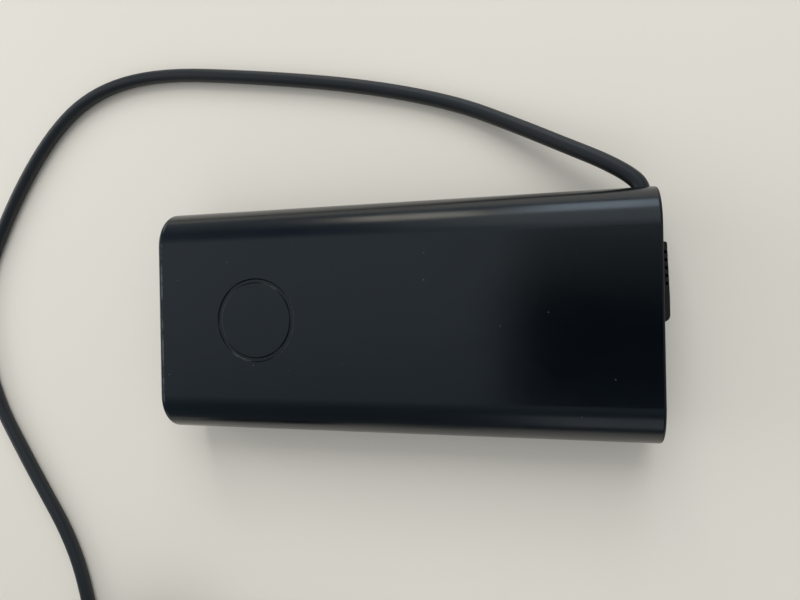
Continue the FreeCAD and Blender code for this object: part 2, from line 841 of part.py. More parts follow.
def make_fuse():
    centre = V(board_left + fuse_from_left, fuse_from_side - board_half, board_top + fuse_radius)
    waist = fuse_radius - fuse_cap_step
    profile = [(0, 0), (0, fuse_radius), (fuse_cap, fuse_radius), (fuse_cap, waist),
               (fuse_length - fuse_cap, waist), (fuse_length - fuse_cap, fuse_radius),
               (fuse_length, fuse_radius), (fuse_length, 0)]
    return turned(profile, centre, V(1, 0, 0), V(0, 0, 1))


def make_interference_capacitor():
    left = board_left + film_capacitor_from_left
    near = board_half - film_capacitor_from_side
    return rounded_box(left, left + film_capacitor_length, near, near + film_capacitor_width,
                       board_top, pad_z - film_capacitor_top_room, film_capacitor_corner, V(0, 0, 1))


def make_bridge_rectifier():
    left, near, low = board_left + bridge_from_left, bridge_from_side - board_half, board_top + bridge_stand
    block = box(left, left + bridge_length, near, near + bridge_depth, low, pad_z - bridge_top_room)
    leg_y = near + (bridge_depth - leg_width) / 2
    legs = [box(left + step - bridge_leg_width / 2, left + step + bridge_leg_width / 2,
                leg_y, leg_y + leg_width, board_top, low + leg_width) for step in bridge_leg_steps]
    return joined([block] + legs)


def make_safety_capacitors():
    near = board_half - disc_from_side
    discs = [rod(disc_radius, disc_thickness, V(transformer_x + step, near, board_top + disc_radius),
                 V(0, 1, 0)) for step in disc_steps]
    return Part.makeCompound(discs)


def make_optocoupler():
    left, near, low = transformer_x + coupler_step, coupler_from_side - board_half, board_top + coupler_stand
    body = box(left, left + coupler_length, near, near + coupler_width, low, low + coupler_height)
    middle = left + coupler_length / 2
    half_foot = coupler_foot_width / 2
    feet = [box(middle + step - half_foot, middle + step + half_foot, y - coupler_foot_length / 2,
                y + coupler_foot_length / 2, board_top, board_top + coupler_foot_height)
            for step in (-leg_pitch / 2, leg_pitch / 2) for y in (near, near + coupler_width)]
    return joined([body] + feet)


def make_control_board():
    near = sink_y + sink_flange + control_from_sink
    return box(bulk_left + control_inset, bulk_right - control_inset, near, near + control_thickness,
               board_top, pad_z - control_top_room)


def make_output_capacitors():
    height = headroom - can_top_room
    waist = can_radius - can_groove_depth
    profile = [(0, 0), (0, can_radius), (can_groove_at - can_groove_half, can_radius),
               (can_groove_at, waist), (can_groove_at + can_groove_half, can_radius),
               (height - can_groove_half, can_radius), (height, waist), (height, 0)]
    places = [(can_row_x, can_row_y + place * can_row_pitch) for place in range(can_row_count)]
    places.append((drum_x, can_row_y))
    return Part.makeCompound([turned(profile, V(x, y, board_top), V(0, 0, 1), V(1, 0, 0))
                              for x, y in places])


def make_filter_inductor():
    waist = drum_radius - drum_waist_step
    profile = [(0, 0), (0, drum_radius), (drum_flange, drum_radius), (drum_flange, waist),
               (drum_height - drum_flange, waist), (drum_height - drum_flange, drum_radius),
               (drum_height, drum_radius), (drum_height, 0)]
    return turned(profile, V(drum_x, drum_y, board_top), V(0, 0, 1), V(1, 0, 0))


def make_output_wires():
    """Two wires from the gland's rear face, over and down to the board."""
    rear = gland_face_y - gland_length
    landing_x = board_right - wire_from_right
    wires = []
    for side in (-1, 1):
        x = exit_x - wire_from_exit + side * wire_half_pitch
        y = wire_y - side * wire_half_pitch
        corners = [(x, rear, middle_z), (x, y, middle_z), (landing_x, y, middle_z), (landing_x, y, board_top)]
        edges, radii = corner_arcs(corners)
        solid, length = tube(edges, wire_radius)
        wires.append(solid)
    return Part.makeCompound(wires)


# Coil tie and plug

def make_cord_tie():
    """A band round the coil at its right side, where the bundle is two turns wide."""
    half_bundle = turn_pitch / 2 + cord_radius
    inner_bend = tie_width ** 2 / (8 * (coil_mean_radius - half_bundle))
    x0 = coil_x + coil_mean_radius - half_bundle - tie_gap - inner_bend
    x1 = coil_x + coil_mean_radius + half_bundle + tie_gap
    y0, y1 = coil_y - tie_width / 2, coil_y + tie_width / 2
    z1 = coil_last_z + cord_radius + tie_gap
    t = tie_thickness
    outer = rounded_box(x0 - t, x1 + t, y0, y1, 0, z1 + t, cord_radius, V(0, 1, 0))
    inner = rounded_box(x0, x1, y0 - 1, y1 + 1, t, z1, cord_radius - t, V(0, 1, 0))
    return outer.cut(inner)


def plug_base():
    return V(*tail_route[-1])


def make_plug_body():
    """A tapered strain relief that grows into the grip, turned round the cord's line."""
    relief, front = plug_relief_length, plug_relief_length + plug_grip_length
    first_step, last_step = plug_front_steps
    profile = [(0, 0), (0, cord_radius + plug_relief_collar),
               (relief - plug_relief_straight, plug_relief_radius), (relief, plug_relief_radius),
               (relief + plug_shoulder_run, plug_grip_radius - plug_shoulder_step),
               (relief + 2 * plug_shoulder_run, plug_grip_radius),
               (front - plug_front_run, plug_grip_radius),
               (front - plug_front_bend, plug_grip_radius - first_step),
               (front, plug_grip_radius - last_step), (front, 0)]
    body = turned(profile, plug_base(), V(1, 0, 0), V(0, 0, 1))
    hole = rod(barrel_radius + barrel_flange_step + fit_gap, 2 * plug_seat_depth,
               plug_base() + V(front - plug_seat_depth, 0, 0), V(1, 0, 0))
    body = body.cut(hole)
    for slot in range(plug_slots):
        start = plug_slot_first + slot * plug_slot_pitch
        body = body.cut(ring_tube(plug_grip_radius, cord_radius + plug_slot_floor,
                                  start, start + plug_slot_width))
    return body


def barrel_span():
    front = plug_relief_length + plug_grip_length
    return front - plug_seat_depth + fit_gap, front + barrel_length


def ring_tube(outer, inner, start, end):
    """A tube on the plug's axis, open at both ends."""
    begin = plug_base() + V(start, 0, 0)
    outside = rod(outer, end - start, begin, V(1, 0, 0))
    return outside.cut(rod(inner, end - start, begin, V(1, 0, 0)))


def make_plug_barrel():
    """The sleeve that goes into the device, with a wider root that is moulded into the grip."""
    root, tip = barrel_span()
    bore = barrel_radius - barrel_wall
    sleeve = ring_tube(barrel_radius, bore, tip - barrel_length, tip)
    return joined([sleeve, ring_tube(barrel_radius + barrel_flange_step, bore, root, tip - barrel_length)])


def make_plug_insulator():
    root, tip = barrel_span()
    outer = barrel_radius - barrel_wall - plug_press_gap
    inner = contact_bore_radius + contact_wall + plug_press_gap
    return ring_tube(outer, inner, root, tip - contact_setback)


def make_plug_contact():
    root, tip = barrel_span()
    return ring_tube(contact_bore_radius + contact_wall, contact_bore_radius, root, tip - 2 * contact_setback)


def make_everything():
    run, run_length = tube(run_edges, cord_radius)
    report_tube("cord run", run, run_length, run_radii)
    tail, tail_length = tube(tail_edges, cord_radius)
    report_tube("cord tail", tail, tail_length, tail_radii)
    film_z = floor_z + spreader_thickness
    return {
        "bottom_cover": make_bottom_cover(),
        "top_cover": make_top_cover(),
        "cord_gland": make_cord_gland(),
        "strap_anchor": make_strap_anchor(),
        "cable_strap": make_cable_strap(),
        "mains_inlet": make_mains_inlet(),
        "inlet_pins": make_inlet_pins(),
        "lower_heat_spreader": sheet(floor_z, spreader_thickness),
        "insulating_sheet": sheet(film_z, film_thickness),
        "upper_heat_spreader": sheet(spreader_z, spreader_thickness),
        "main_board": make_main_board(),
        "thermal_pads": make_thermal_pads(),
        "fuse": make_fuse(),
        "interference_capacitor": make_interference_capacitor(),
        "choke_core": make_choke_core(),
        "choke_winding": make_choke_winding(),
        "bridge_rectifier": make_bridge_rectifier(),
        "bulk_capacitor": make_bulk_capacitor(),
        "primary_heat_sink": make_heat_sink(*primary_sink_span),
        "switching_transistor": make_package(*primary_sink_span),
        "transformer_core": make_transformer_core(),
        "transformer_winding": make_transformer_winding(),
        "transformer_bobbin": make_transformer_bobbin(),
        "safety_capacitors": make_safety_capacitors(),
        "optocoupler": make_optocoupler(),
        "control_board": make_control_board(),
        "output_heat_sink": make_heat_sink(*output_sink_span),
        "output_rectifier": make_package(*output_sink_span),
        "output_capacitors": make_output_capacitors(),
        "filter_inductor": make_filter_inductor(),
        "output_wires": make_output_wires(),
        "cord_run": run,
        "cord_coil": make_coil(),
        "cord_tail": tail,
        "cord_tie": make_cord_tie(),
        "plug_body": make_plug_body(),
        "plug_barrel": make_plug_barrel(),
        "plug_insulator": make_plug_insulator(),
        "plug_contact": make_plug_contact(),
    }


os.makedirs("parts", exist_ok=True)
for name, shape in make_everything().items():
    if not shape.isValid():
        print("not valid:", name)
    shape.exportStep("parts/" + name + ".step")
    print(name, "solids", len(shape.Solids), "volume", round(shape.Volume, 1))
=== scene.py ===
# %% [markdown]
# # A slim laptop power adapter
#
# The object is a black moulded power adapter that lies on a pale table, seen from almost straight above.
# Its housing is a flat block with fully rounded long edges, a shallow ring on its top and a rubber strap
# on its right end. A round output cord leaves one corner, runs round the housing and ends in a plug.
# What the picture doesn't show, such as the inlet, the coil and the plug, follows what such adapters have.
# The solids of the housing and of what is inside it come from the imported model, which is loaded first.

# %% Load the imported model
import json
import math

import bmesh
import bpy
from mathutils import Matrix, Vector


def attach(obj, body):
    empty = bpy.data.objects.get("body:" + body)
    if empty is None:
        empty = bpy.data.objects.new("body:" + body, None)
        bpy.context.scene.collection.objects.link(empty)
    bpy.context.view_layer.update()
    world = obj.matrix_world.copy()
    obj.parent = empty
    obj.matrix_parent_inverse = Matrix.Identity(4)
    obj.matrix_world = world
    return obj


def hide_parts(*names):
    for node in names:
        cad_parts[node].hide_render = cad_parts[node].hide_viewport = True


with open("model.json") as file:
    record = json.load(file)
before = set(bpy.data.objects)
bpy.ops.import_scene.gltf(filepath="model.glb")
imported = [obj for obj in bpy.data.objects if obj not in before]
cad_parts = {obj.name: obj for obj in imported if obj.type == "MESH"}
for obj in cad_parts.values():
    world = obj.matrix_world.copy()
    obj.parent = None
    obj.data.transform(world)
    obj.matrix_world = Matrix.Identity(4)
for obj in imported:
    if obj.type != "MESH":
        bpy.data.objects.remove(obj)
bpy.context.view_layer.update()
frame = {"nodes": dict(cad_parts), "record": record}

MM = 0.001
scene = bpy.context.scene
scene.view_settings.view_transform = "Standard"

# %% [markdown]
# ## The camera
#
# The photograph was taken by hand from about 18 cm over the table, so lines that are parallel on the
# housing run together in the picture. The place and lens below were fitted to the housing's corners, its
# ring and the cord, and the camera then moved 0.5 mm nearer. A lens on a sensor 36 mm wide says
# the same thing as an angle of view.

# %% Place the camera
focal_length_px = 606.18
picture_width_px = 800
camera_data = bpy.data.cameras.new("camera")
camera_data.sensor_width = 36.0
camera_data.lens = focal_length_px / picture_width_px * camera_data.sensor_width
camera_data.clip_start = 0.01
camera = bpy.data.objects.new("camera", camera_data)
camera.location = (0.046839, 0.005040, 0.181617)
camera.rotation_euler = (-0.0047, 0.2591, -0.0199)
scene.collection.objects.link(camera)
scene.camera = camera
print("lens", round(camera_data.lens, 2), "mm")

# %% [markdown]
# ## The output cord's line
#
# The cord is one 1.8 m length of round cable, 4.3 mm thick, as such adapters usually have. The picture
# shows some 34 cm of it: out of the corner, in a long loose bend past the left end, and out of the frame.
# The rest is a guess, a neat coil beside the adapter, held by a tie, as one would put it away. One smooth
# curve follows the whole length. A NURBS curve of order 3 doesn't touch its control points on a bend, so a
# coil's points lie a little outside the turn that they draw.

# %% Control points of the cord, in millimetres
cord_radius = 2.15
cord_exit = (68.2, 29.8, 11.0)
free_points = [
    cord_exit, (68.35, 33.4, 11.0), (65.6, 36.9, 10.47), (58.9, 41.6, 9.23),
    (49.5, 46.9, 6.8), (35.5, 54.7, 4.01), (17.0, 63.9, 2.15), (-12.0, 72.1, 2.15),
    (-48.0, 78.7, 2.15), (-86.0, 84.1, 2.15), (-112.0, 79.9, 2.15), (-130.7, 66.2, 2.15),
    (-149.0, 41.0, 2.15), (-164.0, 10.0, 2.15), (-160.0, -23.5, 2.15), (-140.5, -54.5, 2.15),
    (-123.0, -80.0, 2.15), (-116.0, -104.5, 2.15), (-115.0, -115.0, 3.05), (-115.0, -126.0, 3.05),
]
tail_points = [
    (-115.0, -134.6, 17.6), (-115.0, -140.6, 17.6), (-112.6, -149.8, 17.6), (-105.2, -157.6, 17.6),
    (-92.5, -161.5, 17.6), (-72.3, -160.9, 15.89), (-56.3, -157.6, 9.67), (-43.0, -152.8, 5.4),
    (-33.0, -152.8, 5.4),
]
plug_start = Vector(tail_points[-1])
coil_centre = Vector((-85.09, -130.3, 3.05))
coil_outer = 29.91
coil_pitch = 4.85
coil_layers = 4
turns_per_layer = 2
points_per_turn = 16


def coil_point(step):
    """A control point of the coil: in and out at a steady rate, one layer up where it reverses."""
    turn = step / points_per_turn
    inward = turns_per_layer - abs(turn % (2 * turns_per_layer) - turns_per_layer)
    radius = coil_outer - coil_pitch * inward
    climbed = 0.0
    for layer in range(1, coil_layers):
        share = min(max((turn - layer * turns_per_layer) / 0.5 + 0.5, 0.0), 1.0)
        climbed += share * share * (3 - 2 * share)
    if 0 < step < points_per_turn * coil_layers * turns_per_layer:
        radius /= math.cos(math.pi / points_per_turn)
    angle = math.pi + 2 * math.pi * turn
    return coil_centre + Vector((radius * math.cos(angle), radius * math.sin(angle), climbed * coil_pitch))


coil_points = [coil_point(step) for step in range(points_per_turn * coil_layers * turns_per_layer + 1)]
print("control points: free", len(free_points), "coil", len(coil_points), "tail", len(tail_points))

# %% [markdown]
# The whole cord is one NURBS curve with a round bevel, so it stays a curve that can be moved by its
# points. Its order and its end rule are set after the points are added, because Blender limits the order
# to the number of points that are there.

# %% Draw the cord
cord_curve = bpy.data.curves.new("output_cord", "CURVE")
cord_curve.dimensions = "3D"
cord_curve.bevel_depth = cord_radius * MM
cord_curve.bevel_resolution = 7
cord_curve.use_fill_caps = True
cord_curve.resolution_u = 7
cord_line = cord_curve.splines.new("NURBS")
route = [Vector(point) * MM for point in free_points + coil_points + tail_points]
cord_line.points.add(len(route) - 1)
for control, point in zip(cord_line.points, route):
    control.co = (*point, 1.0)
cord_line.order_u = 3
cord_line.use_endpoint_u = True
cord = bpy.data.objects.new("output_cord", cord_curve)
scene.collection.objects.link(cord)
print("cord: control points", len(route))

# %% [markdown]
# ## Helpers for materials
#
# Blender's shaders work in linear light, but colours are usually written as sRGB hex values, so one
# function turns one into the other. Another adds a node, sets its properties and its sockets, and links
# a socket where it is given another node's output. A third starts a material: values that are the same
# all over the surface are set on the shader's own sockets.

# %% Colour and node helpers
def linear(code):
    """An sRGB hex colour as the linear red, green, blue and alpha that a socket takes."""
    channels = [int(code[i:i + 2], 16) / 255 for i in (1, 3, 5)]
    return [c / 12.92 if c <= 0.04045 else ((c + 0.055) / 1.055) ** 2.4 for c in channels] + [1.0]


def add(tree, kind, inputs=None, **settings):
    """Adds a node: settings are its properties, and inputs its sockets' values or links."""
    node = tree.nodes.new(kind)
    for name, value in settings.items():
        setattr(node, name, value)
    for name, value in (inputs or {}).items():
        if isinstance(value, bpy.types.NodeSocket):
            tree.links.new(value, node.inputs[name])
        else:
            node.inputs[name].default_value = value
    return node


def start_material(name, constants):
    """A new material, its node tree, its shader and the Object coordinates in it."""
    material = bpy.data.materials.new(name)
    material.use_nodes = True
    tree = material.node_tree
    shader = tree.nodes["Principled BSDF"]
    for socket, value in constants.items():
        shader.inputs[socket].default_value = value
    place = add(tree, "ShaderNodeTexCoord").outputs["Object"]
    return material, tree, shader, place


def scale_of(size):
    """The texture scale whose cells or waves are about this many millimetres apart."""
    return 1.0 / (size * MM)


print("scale of a 1 mm pattern:", scale_of(1.0))

# %% [markdown]
# ## From a bmesh to a piece
#
# Every new piece goes the same last steps: its mesh is made an object at the origin, its faces are
# shaded smooth, edges sharper than 30 degrees stay sharp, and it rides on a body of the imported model.
# Where it stands for a plain solid, that solid is hidden.

# %% Piece helpers
def finish_piece(name, bm, body, nodes, material, rounding=0.0):
    """Makes the bmesh a piece of the object. rounding eases its hard edges, in millimetres."""
    mesh = bpy.data.meshes.new(name)
    bm.to_mesh(mesh)
    bm.free()
    piece = bpy.data.objects.new(name, mesh)
    scene.collection.objects.link(piece)
    mesh.shade_smooth()
    mesh.set_sharp_from_angle(angle=math.radians(30))
    mesh.materials.append(material)
    if rounding:
        bevel = piece.modifiers.new("eased edges", "BEVEL")
        bevel.width = rounding * MM
        bevel.segments = 2
        bevel.limit_method = "ANGLE"
        bevel.angle_limit = math.radians(40)
    piece.modifiers.new("flat faces stay flat", "WEIGHTED_NORMAL").keep_sharp = True
    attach(piece, body)
    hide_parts(*nodes)
    print(name, "faces", len(mesh.polygons))
    return piece


def combine(bm, others, operation):
    """Cuts the other closed bmeshes out of bm (DIFFERENCE) or joins them to it (UNION)."""
    holders = []
    for part in [bm] + others:
        mesh = bpy.data.meshes.new("work")
        part.to_mesh(mesh)
        part.free()
        holders.append(bpy.data.objects.new("work", mesh))
        scene.collection.objects.link(holders[-1])
    for tool in holders[1:]:
        step = holders[0].modifiers.new("step", "BOOLEAN")
        step.object = tool
        step.operation = operation
        step.solver = "EXACT"
    result = bmesh.new()
    result.from_mesh(holders[0].evaluated_get(bpy.context.evaluated_depsgraph_get()).to_mesh())
    for holder in holders:
        mesh = holder.data
        bpy.data.objects.remove(holder)
        bpy.data.meshes.remove(mesh)
    return result


def bevel_edges(bm, edges, width, segments):
    """Rounds the given edges with an even arc, width in millimetres."""
    bmesh.ops.bevel(bm, geom=edges, offset=width * MM, offset_type="OFFSET", segments=segments,
                    profile=0.5, affect="EDGES", clamp_overlap=True, material=-1)


def cylinder(radius, length, centre, direction, sides=64):
    """A closed cylinder round centre, along direction, in millimetres."""
    turn = Vector(direction).to_track_quat("Z", "Y").to_matrix().to_4x4()
    bm = bmesh.new()
    bmesh.ops.create_cone(bm, cap_ends=True, segments=sides, radius1=radius * MM, radius2=radius * MM,
                          depth=length * MM, matrix=Matrix.Translation(Vector(centre) * MM) @ turn)
    return bm


def block(low, high, corner=0.0, along=(1, 0, 0), segments=6):
    """A box from its lowest to its highest corner, with its edges along one axis rounded."""
    low, high = Vector(low) * MM, Vector(high) * MM
    bm = bmesh.new()
    bmesh.ops.create_cube(bm, size=1.0)
    bmesh.ops.scale(bm, vec=high - low, verts=bm.verts)
    bmesh.ops.translate(bm, vec=(high + low) / 2, verts=bm.verts)
    if corner:
        edges = [edge for edge in bm.edges
                 if abs((edge.verts[1].co - edge.verts[0].co).normalized().dot(Vector(along))) > 0.99]
        bevel_edges(bm, edges, corner, segments)
    return bm


def turned(profile, centre, axis, side, steps=96):
    """A closed solid turned about an axis from (along, radius) points in millimetres."""
    centre, axis, side = Vector(centre) * MM, Vector(axis), Vector(side)
    bm = bmesh.new()
    line = [bm.verts.new(centre + (axis * along + side * radius) * MM) for along, radius in profile]
    edges = [bm.edges.new(pair) for pair in zip(line, line[1:])]
    bmesh.ops.spin(bm, geom=line + edges, cent=centre, axis=axis, angle=2 * math.pi, steps=steps,
                   use_merge=True)
    bmesh.ops.remove_doubles(bm, verts=bm.verts, dist=1e-6)
    bmesh.ops.recalc_face_normals(bm, faces=bm.faces)
    return bm

# %% [markdown]
# ## The housing's plastic
#
# The housing is a PC and ABS blend, moulded in a steel tool whose walls were spark eroded to a fine
# grain. New, it is deep black with a cool, soft shine. In use, hands polish it in patches and dust settles
# in specks. A broken paler line just before the left rim is a painted highlight, for the light that the
# rim's rounding catches. Most of what the eye sees is the room mirrored in the plastic, so the colour is
# nearly black and the roughness low and slightly uneven.

# %% Housing material
# Where the painted highlight line lies, in millimetres left of the middle
painted_highlight_at = 70.3


def housing_plastic():
    """Moulded PC and ABS: black, a soft uneven shine, dust, and a painted highlight line by the left rim.
    """
    material, tree, shader, place = start_material("moulded_pc_abs_black", {"IOR": 1.52})
    haze = add(tree, "ShaderNodeTexNoise", {"Vector": place, "Scale": scale_of(36),
                                            "Detail": 4.0}).outputs["Fac"]
    colour = add(tree, "ShaderNodeMix", {0: haze, 6: linear("#01060B"), 7: linear("#04090F")},
                 data_type="RGBA").outputs[2]
    # Dust lies in a few of the cells of a grid some 4 mm wide
    cells = add(tree, "ShaderNodeTexVoronoi", {"Vector": place, "Scale": scale_of(4.0)})
    draw = add(tree, "ShaderNodeSeparateColor", {"Color": cells.outputs["Color"]}).outputs["Red"]
    chosen = add(tree, "ShaderNodeMath", {0: draw, 1: 0.80}, operation="GREATER_THAN").outputs[0]
    near = add(tree, "ShaderNodeMapRange", {"Value": cells.outputs["Distance"], "From Min": 0.02,
                                            "From Max": 0.06, "To Min": 1.0, "To Max": 0.0}).outputs[0]
    speck = add(tree, "ShaderNodeMath", {0: chosen, 1: near}, operation="MULTIPLY").outputs[0]
    colour = add(tree, "ShaderNodeMix", {0: speck, 6: colour, 7: linear("#4A4F52")},
                 data_type="RGBA").outputs[2]
    # A painted highlight: a broken paler line just before the rim of the left end, where its rounding
    # catches light
    along = add(tree, "ShaderNodeSeparateXYZ", {"Vector": place}).outputs["X"]
    from_line = add(tree, "ShaderNodeMath", {0: along, 1: painted_highlight_at * MM}, operation="ADD").outputs[0]
    off_line = add(tree, "ShaderNodeMath", {0: from_line}, operation="ABSOLUTE").outputs[0]
    rim = add(tree, "ShaderNodeMapRange", {"Value": off_line, "From Min": 0.12 * MM, "From Max": 0.26 * MM,
                                           "To Min": 1.0, "To Max": 0.0}).outputs[0]
    patchy = add(tree, "ShaderNodeTexNoise", {"Vector": place, "Scale": scale_of(5.0),
                                              "Detail": 6.0}).outputs["Fac"]
    broken = add(tree, "ShaderNodeMapRange", {"Value": patchy, "From Min": 0.46, "From Max": 0.6,
                                              "To Min": 0.06}).outputs[0]
    painted_highlight = add(tree, "ShaderNodeMath", {0: rim, 1: broken}, operation="MULTIPLY").outputs[0]
    colour = add(tree, "ShaderNodeMix", {0: painted_highlight, 6: colour, 7: linear("#4E565B")},
                 data_type="RGBA").outputs[2]
    tree.links.new(colour, shader.inputs["Base Color"])
    # Hands leave smears some 20 mm wide, a little shinier than the moulded finish
    smears = add(tree, "ShaderNodeTexNoise", {"Vector": place, "Scale": scale_of(22), "Detail": 3.0,
                                              "Distortion": 1.5}).outputs["Fac"]
    shine = add(tree, "ShaderNodeMapRange", {"Value": smears, "From Min": 0.35, "From Max": 0.7,
                                             "To Min": 0.2, "To Max": 0.25}).outputs[0]
    tree.links.new(shine, shader.inputs["Roughness"])
    # The grain's pits are some 0.05 mm wide, and drawn at 0.25 mm so that they show
    grain = add(tree, "ShaderNodeTexNoise", {"Vector": place, "Scale": scale_of(0.25),
                                             "Detail": 2.0}).outputs["Fac"]
    bump = add(tree, "ShaderNodeBump", {"Height": grain, "Strength": 0.05, "Distance": 0.02 * MM})
    tree.links.new(bump.outputs["Normal"], shader.inputs["Normal"])
    return material


housing_material = housing_plastic()
print("finish:", housing_material.name)

# %% [markdown]
# The ends are the same plastic from a coarser part of the mould, and look dull and nearly black next to
# the shiny top. Other moulded parts differ in the same few ways: two close colours in soft patches, a
# roughness that follows the patches, and a fine grain. So one function makes them all from real sizes.
# For the ends, a lower index of refraction than the plastic's own stands for the light that is lost in
# the deep grain.

# %% Moulded finishes, and that of the ends
def moulded(name, dark, light, patch, detail, shine, grain, relief, ior):
    """A moulded plastic or rubber. patch, grain and relief's depth are in millimetres."""
    material, tree, shader, place = start_material(name, {"IOR": ior})
    cloud = add(tree, "ShaderNodeTexNoise", {"Vector": place, "Scale": scale_of(patch),
                                             "Detail": detail}).outputs["Fac"]
    colour = add(tree, "ShaderNodeMix", {0: cloud, 6: linear(dark), 7: linear(light)},
                 data_type="RGBA").outputs[2]
    tree.links.new(colour, shader.inputs["Base Color"])
    dull = add(tree, "ShaderNodeMapRange", {"Value": cloud, "To Min": shine[0],
                                            "To Max": shine[1]}).outputs[0]
    tree.links.new(dull, shader.inputs["Roughness"])
    pits = add(tree, "ShaderNodeTexNoise", {"Vector": place, "Scale": scale_of(grain),
                                            "Detail": 2.0}).outputs["Fac"]
    strength, depth = relief
    bump = add(tree, "ShaderNodeBump", {"Height": pits, "Strength": strength, "Distance": depth * MM})
    tree.links.new(bump.outputs["Normal"], shader.inputs["Normal"])
    print("finish:", name)
    return material


# Moulded PC and ABS with a coarse grain: a dull black that mirrors little
end_material = moulded("moulded_pc_abs_coarse", "#06090C", "#0C1014", patch=9, detail=4.0,
                       shine=(0.42, 0.56), grain=0.35, relief=(0.15, 0.03), ior=1.33)

# %% [markdown]
# ## The housing
#
# Two shells meet half way up. The outside is one section, a flat strip between two half circles, that is
# drawn by spinning a point round each flank and then pushed along the length. Rounding its end rims and
# cutting the hollow, the ring and the openings out of it gives clean faces that mirror the room evenly.

# %% Outside of the housing
body_length, body_width, body_height = 143.0, 67.0, 22.0
middle_z = body_height / 2
wall = 2.0
rim_round, rim_steps = 0.8, 6
flank_steps = 48
seam_gap = 0.16


def rounded_slab(length, width, height, rim):
    """A closed block with the housing's section, its end rims rounded by rim."""
    radius = height / 2
    flat = width / 2 - radius
    bm = bmesh.new()
    first = last = bm.verts.new(Vector((-length / 2, -flat, middle_z - radius)) * MM)
    for side in (-1, 1):
        arc = bmesh.ops.spin(bm, geom=[last], cent=Vector((-length / 2, side * flat, middle_z)) * MM,
                             axis=(-1, 0, 0), angle=math.pi, steps=flank_steps)
        last = [item for item in arc["geom_last"] if isinstance(item, bmesh.types.BMVert)][0]
        if side < 0:
            last = bmesh.ops.extrude_vert_indiv(bm, verts=[last])["verts"][0]
            bmesh.ops.translate(bm, vec=(0, 2 * flat * MM, 0), verts=[last])
    bmesh.ops.contextual_create(bm, geom=[last, first])
    pushed = bmesh.ops.extrude_edge_only(bm, edges=bm.edges[:])["geom"]
    bmesh.ops.translate(bm, vec=(length * MM, 0, 0),
                        verts=[item for item in pushed if isinstance(item, bmesh.types.BMVert)])
    bmesh.ops.holes_fill(bm, edges=bm.edges[:])
    bmesh.ops.recalc_face_normals(bm, faces=bm.faces)
    if rim:
        end_edges = [edge for edge in bm.edges if abs(edge.verts[0].co.x - edge.verts[1].co.x) < 1e-9]
        bevel_edges(bm, end_edges, rim, rim_steps)
    return bm


def split(bm, height, keep_top):
    """Keeps the part of a closed block over or under a level plane, and closes it there."""
    bmesh.ops.bisect_plane(bm, geom=bm.verts[:] + bm.edges[:] + bm.faces[:], plane_co=(0, 0, height * MM),
                           plane_no=(0, 0, 1), clear_inner=keep_top, clear_outer=not keep_top)
    bmesh.ops.holes_fill(bm, edges=[edge for edge in bm.edges if edge.is_boundary])
    bmesh.ops.recalc_face_normals(bm, faces=bm.faces)
    return bm


print("housing", body_length, "x", body_width, "x", body_height, "mm")

# %% [markdown]
# The ring on the top is a groove 1.2 mm wide and 0.4 mm deep. Its cutter is turned from the groove's own
# section, with a small round at each shoulder, so that the cut leaves soft edges that catch the light.

# %% Cutter for the ring
ring_centre = (-39.2, 0.0, body_height)
ring_outer, ring_inner, ring_depth = 12.1, 10.9, 0.4
shoulder = 0.2


def ring_cutter():
    """The groove's closed section, from the outer shoulder down, across and up the inner one."""
    profile = []
    for radius, side in ((ring_outer, 1), (ring_inner, -1)):
        half = [(ring_depth, radius + side * shoulder)]
        for step in range(5):
            angle = math.pi / 2 * step / 4
            half.append((-shoulder * (1 - math.cos(angle)),
                         radius + side * shoulder * (1 - math.sin(angle))))
        half += [(-ring_depth * 0.7, radius - side * 0.04), (-ring_depth, radius - side * 0.2)]
        profile += half if side > 0 else half[::-1]
    return turned(profile + profile[:1], ring_centre, (0, 0, 1), (1, 0, 0), steps=160)


print("ring", 2 * ring_outer, "mm across")

# %% [markdown]
# Three openings go through the walls. The left end has a window for the mains inlet and the right end a
# slot for the strap's root. The cord leaves a round hole in the far flank, and a slanted scoop beside the
# hole gives it room to lean to the left at once. Each cutter reaches past both sides of the wall.

# %% Cutters for the openings in the ends and for the cord
hole_radius, scoop_radius, scoop_length = 2.4, 2.7, 6.0
cord_lean = math.radians(44.0)
inlet_window = ((-75.0, -9.6, 3.2), (-68.0, 9.6, 18.8))
strap_slot = ((68.0, -3.5, 5.1), (75.0, 3.5, 16.9))


def opening_cutters():
    """The inlet's window, the strap's slot, and the cord's hole with the scoop that lets it lean left."""
    reach = Vector((-math.sin(cord_lean), math.cos(cord_lean), 0))
    hole = cylinder(hole_radius, 8.0, (cord_exit[0], 33.0, middle_z), (0, 1, 0))
    scoop_middle = Vector((cord_exit[0], 31.7, middle_z)) + reach * scoop_length / 2
    scoop = cylinder(scoop_radius, scoop_length, scoop_middle, reach)
    return [hole, scoop, block(*inlet_window, corner=2.2), block(*strap_slot, corner=0.5)]


print("cutters for openings:", "hole, scoop, window, slot")

# %% [markdown]
# Each half is the outside, cut level at the parting line, less the hollow and the openings. A gap of
# 0.16 mm at the parting line shows as the thin dark seam round a real housing. The faces at the ends take
# the duller finish.

# %% Make the two shells
end_depth = 0.55


def housing_half(name, keep_top, node):
    level = middle_z + (seam_gap / 2 if keep_top else -seam_gap / 2)
    outside = split(rounded_slab(body_length, body_width, body_height, rim_round), level, keep_top)
    hollow = rounded_slab(body_length - 2 * wall, body_width - 2 * wall, body_height - 2 * wall, 0.0)
    cutters = [hollow] + opening_cutters() + ([ring_cutter()] if keep_top else [])
    shell = combine(outside, cutters, "DIFFERENCE")
    for face in shell.faces:
        face.material_index = int(abs(face.calc_center_median().x) > (body_length / 2 - end_depth) * MM)
    piece = finish_piece(name, shell, "root", [node], housing_material, rounding=0.12)
    piece.data.materials.append(end_material)
    return piece


housing_half("housing_top", True, "top_cover")
housing_half("housing_bottom", False, "bottom_cover")

